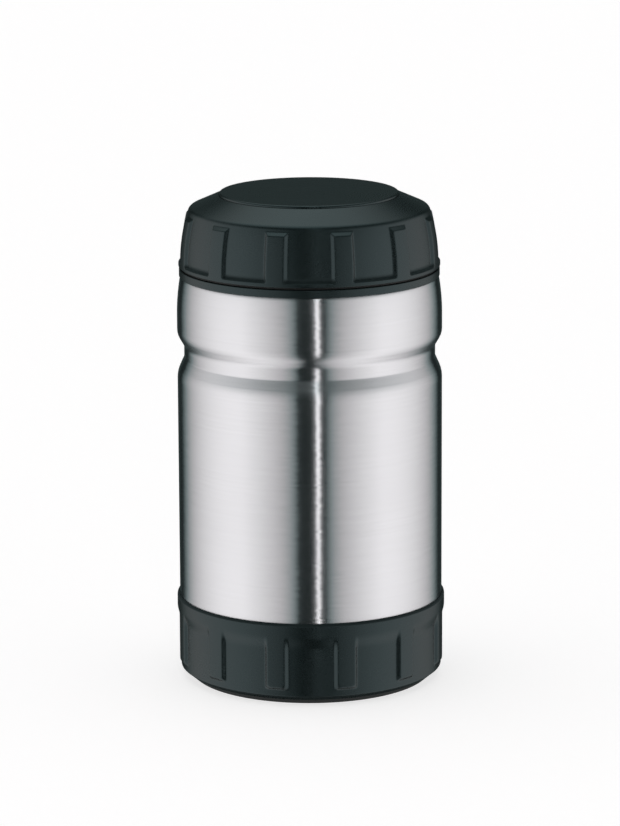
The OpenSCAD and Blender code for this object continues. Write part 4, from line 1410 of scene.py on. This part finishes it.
def d_ring(inset, z):
    """A D with round corners, moved in by inset, at height z (both in mm), in metres."""
    outer = POCKET_R - inset
    corner = POCKET_CORNER - inset
    x = BAR_W / 2 + inset + corner
    y = math.sqrt((outer - corner) ** 2 - x * x)
    touch = math.degrees(math.atan2(y, x))
    ring = arc((x, -y), corner, 180, 360 - touch, 10)
    ring += arc((0, 0), outer, -touch, touch, 40)[1:-1]
    ring += arc((x, y), corner, touch, 180, 10)
    return [(px * MM, py * MM, z * MM) for px, py in ring]


print("a D outline has", len(d_ring(0, cover_top)), "points")

# %% [markdown]
# ## A cutter for the pockets
# The cutter is a stack of D outlines, joined by faces. Moving each one in or out a little gives the
# pocket a rounded rim and a rounded floor. A bevel after the cut could do the same, but it fails
# more easily where the pocket's corners are tight.

# %% Finger pocket cutter
def pocket_cutter(name, turn):
    """A closed mesh of stacked D outlines, turned about Z."""
    rings = [d_ring(-POCKET_RIM - CUTTER_MOUTH[0], cover_top + CUTTER_MOUTH[1])]
    for a in map(math.radians, RIM_ANGLES):
        height = cover_top - POCKET_RIM * (1 - math.sin(a))
        rings.append(d_ring(-POCKET_RIM * (1 - math.cos(a)), height))
    for a in map(math.radians, FLOOR_ANGLES):
        height = POCKET_FLOOR + POCKET_FILLET * (1 - math.sin(a))
        rings.append(d_ring(POCKET_FILLET * (1 - math.cos(a)), height))
    n = len(rings[0])
    faces = [tuple(range(n)), tuple(range((len(rings) - 1) * n, len(rings) * n))]
    for row in range(len(rings) - 1):
        for i in range(n):
            j = (i + 1) % n
            faces.append((row * n + i, row * n + j, (row + 1) * n + j, (row + 1) * n + i))
    mesh = bpy.data.meshes.new(name)
    c, s = round(math.cos(turn)), round(math.sin(turn))
    points = [(x * c - y * s, x * s + y * c, z) for ring in rings for x, y, z in ring]
    mesh.from_pydata(points, [], faces)
    made = bpy.data.objects.new(name, mesh)
    bpy.context.scene.collection.objects.link(made)
    return plain_mesh(made, name)


print(f"pockets {cover_top - POCKET_FLOOR:.1f} mm deep, with a grip of {BAR_W:.0f} mm between them")

# %% [markdown]
# ## The stopper's cover
# The cover is a turned plate with a well for the valve's button, and it closes the barrel over the
# foam. The two cutters make the pockets, one on each side. The pockets' rims bend only a little
# from face to face, so the edges that stay crisp are chosen by a smaller angle here.

# %% Stopper cover
COVER_SHARP = math.radians(14)
BUTTON_BORE = 9.9
WELL_FLOOR = foot_of("valve_button") - 3.4
cover_r = radius_of("stopper_cover")

cover = turn_up("stopper_lid_plate", rounded([
    (CHIMNEY_BORE, cover_foot), (CAVITY_R - 2 * FIT, cover_foot),
    (CAVITY_R - 2 * FIT, flange_z + FLANGE_T),
    (cover_r, flange_z + FLANGE_T), (cover_r, cover_top, 0.9), (BUTTON_BORE, cover_top, 0.5),
    (BUTTON_BORE, WELL_FLOOR), (CHIMNEY_BORE, WELL_FLOOR)]))
cover = combined(cover, "DIFFERENCE", [
    pocket_cutter("right_pocket", 0), pocket_cutter("left_pocket", math.pi)], COVER_SHARP)
place(cover, "stopper", "charcoal_plastic", FINISH["charcoal_plastic"], "stopper_cover")

# %% [markdown]
# ## The stopper's seal
# A soft silicone ring sits in the plug's groove. A ring with a round section would be simpler, but
# two thin lips seal a wide mouth with less force. They stand out from the ring and touch the steel.
# The lips are the widest places, so the CAD node's radius is theirs.

# %% Stopper seal
SEAL_IN = SEAL_ROOT + FIT
SEAL_BODY = 41.36            # radius between the lips
SEAL_LIP = 0.9               # height of each lip at its root
LIP_INSET = 0.5              # from the seal's end faces to its lips
seal_r = radius_of("stopper_seal")
seal_low = foot_of("stopper_seal")
seal_high = top_of("stopper_seal")

seal = turn_up("stopper_seal_ring", rounded([
    (SEAL_IN, seal_low), (SEAL_BODY, seal_low), (seal_r, seal_low + LIP_INSET, 0.15),
    (seal_r, seal_low + LIP_INSET + SEAL_LIP / 2, 0.15),
    (SEAL_BODY, seal_low + LIP_INSET + SEAL_LIP, 0.2),
    (SEAL_BODY, seal_high - LIP_INSET - SEAL_LIP, 0.2),
    (seal_r, seal_high - LIP_INSET - SEAL_LIP / 2, 0.15),
    (seal_r, seal_high - LIP_INSET, 0.15), (SEAL_BODY, seal_high), (SEAL_IN, seal_high)]))
place(seal, "stopper_ring", "silicone", FINISH["silicone"], "stopper_seal")

# %% [markdown]
# ## The valve's button
# Hot food leaves a vacuum under the stopper when it cools. Pressing the button pushes a stem and
# its gasket down and lets air in, and the stopper turns easily again. The button is a turned cap
# with a shallow dish for the fingertip. A ball could be cut out of the cap to make the dish. Drawn
# in the outline as a parabola, in a few steps, it needs no cut.

# %% Valve button
DISH_R = 7.4
DISH_DEPTH = 0.8
DISH_STEPS = 8
BUTTON_STEPS = 128

button_r = radius_of("valve_button")
button_foot = foot_of("valve_button")
button_top = top_of("valve_button")
shares = [i / DISH_STEPS for i in range(DISH_STEPS)]
dish = [(DISH_R * share, button_top - DISH_DEPTH * (1 - share ** 2)) for share in shares]
button = turn_up("release_button", dish + rounded([
    dish[-1], (DISH_R, button_top, 0.5), (button_r, button_top, 0.9), (button_r, button_foot, 0.2),
    (0, button_foot)], closed=False)[1:], steps=BUTTON_STEPS)
place(button, "valve", "grey_plastic", FINISH["grey_plastic"], "valve_button")

# %% [markdown]
# ## The valve's spring
# The spring brings the button back. It is the wound tree again, with a round section and level
# ends. It stands on the stopper, and it gets a mesh of its own.

# %% Valve spring
WIRE = 0.9
WIRE_SIDES = 14
COIL_R = 4.3
COILS = 7
COIL_STEPS = 36              # steps in one coil
WIRE_FADE = 0.1              # the wire's ends taper over this angle, in radians

spring_foot = foot_of("valve_spring")
spring_top = top_of("valve_spring")
wire = arc((0, 0), WIRE / 2, 0, 360, WIRE_SIDES)
chain = outline_object("spring_outline", wire)
run_tree(chain, WOUND, Turn=math.tau * COILS, Rise=(spring_top - spring_foot - WIRE) * MM,
         Foot_height=(spring_foot + WIRE / 2) * MM, Root_radius=COIL_R * MM, Fade=WIRE_FADE,
         Level_ends=math.tau, Steps=COILS * COIL_STEPS)
spring = plain_mesh(chain, "button_spring")
place(spring, "stopper", "spring_wire", FINISH["spring_wire"], "valve_spring")
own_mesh(spring)

# %% [markdown]
# ## The valve's gasket and nut
# Under the stopper a silicone ring is drawn up against the plug, and a nut on the stem holds it.
# Both are small turned pieces. They ride with the button, because the stem joins all three.

# %% Valve gasket and nut
STEM_R = 2.0
valve_seal_r = radius_of("valve_gasket")
valve_seal = turn_up("valve_seal", rounded([
    (STEM_R, foot_of("valve_gasket")), (valve_seal_r, foot_of("valve_gasket"), 0.5),
    (valve_seal_r, top_of("valve_gasket"), 0.3), (STEM_R, top_of("valve_gasket"))]),
    steps=TINY_STEPS)
place(valve_seal, "valve", "silicone", FINISH["silicone"], "valve_gasket")

nut_r = radius_of("valve_nut")
nut = turn_up("valve_knob", rounded([
    (0, foot_of("valve_nut")), (nut_r, foot_of("valve_nut"), 0.4),
    (nut_r, top_of("valve_nut"), 0.2), (0, top_of("valve_nut"))]), steps=TINY_STEPS)
place(nut, "valve", "charcoal_plastic", FINISH["charcoal_plastic"], "valve_nut")

# %% [markdown]
# ## Finishes of the CAD nodes that stay
# The hidden pieces, such as the foil, the foam and the valve's stem, are plain shapes that the CAD
# model already has right. They keep their meshes and only get a finish. Each node's record names
# its material slot, so one loop gives every slot its finish by name.

# %% Finishes of the CAD nodes that stay
for row in frame["record"]["subparts"]:
    for slot in frame["nodes"][row["node"]].material_slots:
        slot.material = FINISH[row["material_slot"]]

# %% [markdown]
# ## Studio
# Steel shows its surroundings, so they have to be designed as carefully as the object. Lamps and
# reflector boards could do it. Here the sky itself is painted, as a function of direction only,
# which puts each edge just where its reflection belongs. Two wide soft sides brighten away from the
# viewer's axis and fade out behind. A narrow strip stands just right of the axis. A soft top light
# hangs a little behind the zenith. The front and the back stay dim, which draws the dark lines on
# the steel and models the black plastic.

# %% Studio sizes
BACKGROUND = 1.0             # what the camera sees of the sky, where 1 is white
AMBIENT = 0.022              # a little light from everywhere
SIDE_START = 12.5            # azimuths from the viewer's axis, in degrees
SIDE_FULL = 64.0
SIDE_GROWTH = 0.55           # below 1, the sides brighten fast at first
SIDE_FADE = 72.0
SIDE_END = 148.0
FADE_SHAPE = 1.8             # above 1, they fade slowly at first
SIDE_LIGHT = 1.3
SIDE_SHIFT = 1.6             # the dark front lies this far right of the axis
SIDE_ROOF = (9.0, 47.0)      # the side lights fade out between these elevations
BACK_START = 156.0           # a faint light behind the object
BACK_FULL = 170.0
BACK_LIGHT = 0.045
TOP_AIM = Vector((-0.07, 0.21, 0.97)).normalized()
TOP_EDGE = (16.0, 56.0)      # the top light fades between these distances from its middle
TOP_LIGHT = 1.13
STRIP = (5.4, 8.2)           # azimuths of the strip's two edges
STRIP_BLUR = 0.5             # half the width of each soft edge
STRIP_LIGHT = 2.4
STRIP_FOOT = (-46.0, -26.0)  # elevations between which the strip fades in
COOL = (0.72, 1.0, 1.0)      # colour of the dim parts
DIM = (0.1, 0.62)            # cool below the first strength, and white above the second
HIGH = (15.0, 45.0)          # light from above turns cool between these elevations
HIGH_COOL = 0.4              # as this share of the full coolness
print(f"strip {STRIP[1] - STRIP[0]:.1f} degrees wide, top light {2 * TOP_EDGE[1]:.0f} degrees wide")

# %% [markdown]
# ## Lights as functions of direction
# The direction of a ray gives an azimuth and an elevation. Each light is a product of ramps of
# these two, so its edges are as soft as the ramps are long.

# %% Lights
def degrees_of(tree, radians):
    """Radians as degrees."""
    return calc(tree, "MULTIPLY", radians, 180 / math.pi)


def side_lights(tree, azimuth, wide):
    """The two sides and the faint back, before the roof cuts them off."""
    away = calc(tree, "ABSOLUTE", calc(tree, "SUBTRACT", azimuth, SIDE_SHIFT))
    growing = calc(tree, "POWER", remap(tree, away, SIDE_START, SIDE_FULL), SIDE_GROWTH)
    faded = calc(tree, "POWER", remap(tree, wide, SIDE_FADE, SIDE_END), FADE_SHAPE)
    fading = calc(tree, "SUBTRACT", 1.0, faded)
    sides = calc(tree, "MULTIPLY", calc(tree, "MULTIPLY", growing, fading), SIDE_LIGHT)
    back = remap(tree, wide, BACK_START, BACK_FULL, kind="SMOOTHSTEP")
    return calc(tree, "ADD", sides, calc(tree, "MULTIPLY", back, BACK_LIGHT))


def strip_light(tree, azimuth, elevation):
    """The narrow strip, from below the horizon to overhead."""
    left, right = STRIP
    across = calc(tree, "MULTIPLY",
                  remap(tree, azimuth, left - STRIP_BLUR, left + STRIP_BLUR),
                  remap(tree, azimuth, right - STRIP_BLUR, right + STRIP_BLUR, 1.0, 0.0))
    return calc(tree, "MULTIPLY", across, remap(tree, elevation, *STRIP_FOOT, 0.0, STRIP_LIGHT))


def top_light(tree, ray):
    """The soft round light overhead."""
    along = node(tree, "ShaderNodeVectorMath", {0: ray, 1: TOP_AIM}, operation="DOT_PRODUCT")
    from_top = degrees_of(tree, calc(tree, "ARCCOSINE", along.outputs["Value"]))
    return remap(tree, from_top, *TOP_EDGE, TOP_LIGHT, 0.0, "SMOOTHSTEP")


ready(degrees_of, side_lights, strip_light, top_light)

# %% [markdown]
# ## The sky
# The world's shader adds the lights up. The dim parts are a little cool and the bright ones white,
# as in a room whose dark walls give back some of the light, so the colour depends on the strength.
# Metal usually sees the same white surroundings as the camera. Here white all round would turn the
# steel into an even grey, so only the camera, and rays that pass through something, see white.

# %% Sky
def make_sky():
    """The studio's light as a world shader."""
    world = bpy.data.worlds.new("studio")
    world.use_nodes = True
    tree = world.node_tree
    ray = node(tree, "ShaderNodeTexCoord").outputs["Generated"]
    part = node(tree, "ShaderNodeSeparateXYZ", {0: ray}).outputs
    towards = calc(tree, "MULTIPLY", part["Y"], -1.0)
    azimuth = degrees_of(tree, calc(tree, "ARCTAN2", part["X"], towards))
    elevation = degrees_of(tree, calc(tree, "ARCSINE", part["Z"]))
    wide = calc(tree, "ABSOLUTE", azimuth)
    roof = remap(tree, elevation, *SIDE_ROOF, 1.0, 0.0, "SMOOTHSTEP")
    low = calc(tree, "MULTIPLY", side_lights(tree, azimuth, wide), roof)
    low = calc(tree, "ADD", low, strip_light(tree, azimuth, elevation))
    studio = calc(tree, "ADD", calc(tree, "ADD", low, top_light(tree, ray)), AMBIENT)
    path = node(tree, "ShaderNodeLightPath").outputs
    seen = calc(tree, "MAXIMUM", path["Is Camera Ray"], path["Is Transmission Ray"])
    strength = node(tree, "ShaderNodeMix", {0: seen, 2: studio, 3: BACKGROUND}).outputs[0]
    high = calc(tree, "MULTIPLY", remap(tree, elevation, *HIGH, 0.0, HIGH_COOL),
                calc(tree, "SUBTRACT", 1.0, seen))
    cool = calc(tree, "MAXIMUM", remap(tree, strength, *DIM, 1.0, 0.0), high)
    tree.links.new(strength, tree.nodes["Background"].inputs["Strength"])
    tree.links.new(blend(tree, cool, (1, 1, 1), COOL), tree.nodes["Background"].inputs["Color"])
    bpy.context.scene.world = world
    return world


print("sky:", make_sky().name)

# %% [markdown]
# ## Floor
# The floor is a plain pale plane. A backdrop that curves up behind the object isn't needed, because
# the camera sees a white sky. The floor glows for the camera only, so that it looks nearly white
# and puts no extra light on the object, and it still takes the object's soft shadow. Reflections
# look through it and see the painted studio, whose sides go on below the horizon. From below it is
# clear, so that the underside can be looked at.

# %% Floor
FLOOR_HALF = 3.0             # metres
FLOOR_GLOW = 0.70
FLOOR_COLOR = (0.565, 0.5, 0.502, 1)     # a little warm, as the top light is cool
FLOOR_ROUGHNESS = 0.9


def make_floor():
    """A pale floor that the camera sees as white, with the object's soft shadow."""
    mesh = bpy.data.meshes.new("floor")
    h = FLOOR_HALF
    mesh.from_pydata([(-h, -h, 0), (h, -h, 0), (h, h, 0), (-h, h, 0)], [], [(0, 1, 2, 3)])
    floor = bpy.data.objects.new("floor", mesh)
    bpy.context.scene.collection.objects.link(floor)
    material, tree, shader = new_material(
        "floor", Base_Color=FLOOR_COLOR, Roughness=FLOOR_ROUGHNESS, Specular_IOR_Level=0.0,
        Emission_Color=(1, 1, 1, 1))
    path = node(tree, "ShaderNodeLightPath").outputs
    glow = calc(tree, "MULTIPLY", path["Is Camera Ray"], FLOOR_GLOW)
    tree.links.new(glow, shader.inputs["Emission Strength"])
    clear = node(tree, "ShaderNodeBsdfTransparent").outputs[0]
    below = node(tree, "ShaderNodeNewGeometry").outputs["Backfacing"]
    see_through = calc(tree, "MAXIMUM", path["Is Glossy Ray"], below)
    mix = node(tree, "ShaderNodeMixShader", {0: see_through, 1: shader.outputs[0], 2: clear})
    tree.links.new(mix.outputs[0], tree.nodes["Material Output"].inputs["Surface"])
    mesh.materials.append(material)
    return floor


print(f"{make_floor().name}: {2 * FLOOR_HALF:.0f} m wide")

# %% [markdown]
# ## Camera
# The camera stands in front of the jar, a little above it, and looks down at it. A long lens from
# far away keeps the jar's sides almost parallel. The turn about its own axis is tiny: it only sets
# the jar upright in the frame.

# %% Camera
CAMERA_AT = (0.0, -1.620, 0.4687)
CAMERA_PITCH = 12.51         # degrees below the horizon
CAMERA_ROLL = -0.275
CAMERA_LENS = 176.6          # mm
CAMERA_SENSOR = 36           # mm

camera_data = bpy.data.cameras.new("camera")
camera_data.lens = CAMERA_LENS
camera_data.sensor_width = CAMERA_SENSOR
camera = bpy.data.objects.new("camera", camera_data)
bpy.context.scene.collection.objects.link(camera)
camera.location = CAMERA_AT
look = Matrix.Rotation(math.radians(90 - CAMERA_PITCH), 4, "X")
look = look @ Matrix.Rotation(math.radians(CAMERA_ROLL), 4, "Z")
camera.rotation_euler = look.to_euler()
bpy.context.scene.camera = camera
bpy.context.scene.view_settings.view_transform = "Standard"
print(f"camera {Vector(CAMERA_AT).length:.2f} m away, lens {CAMERA_LENS} mm")
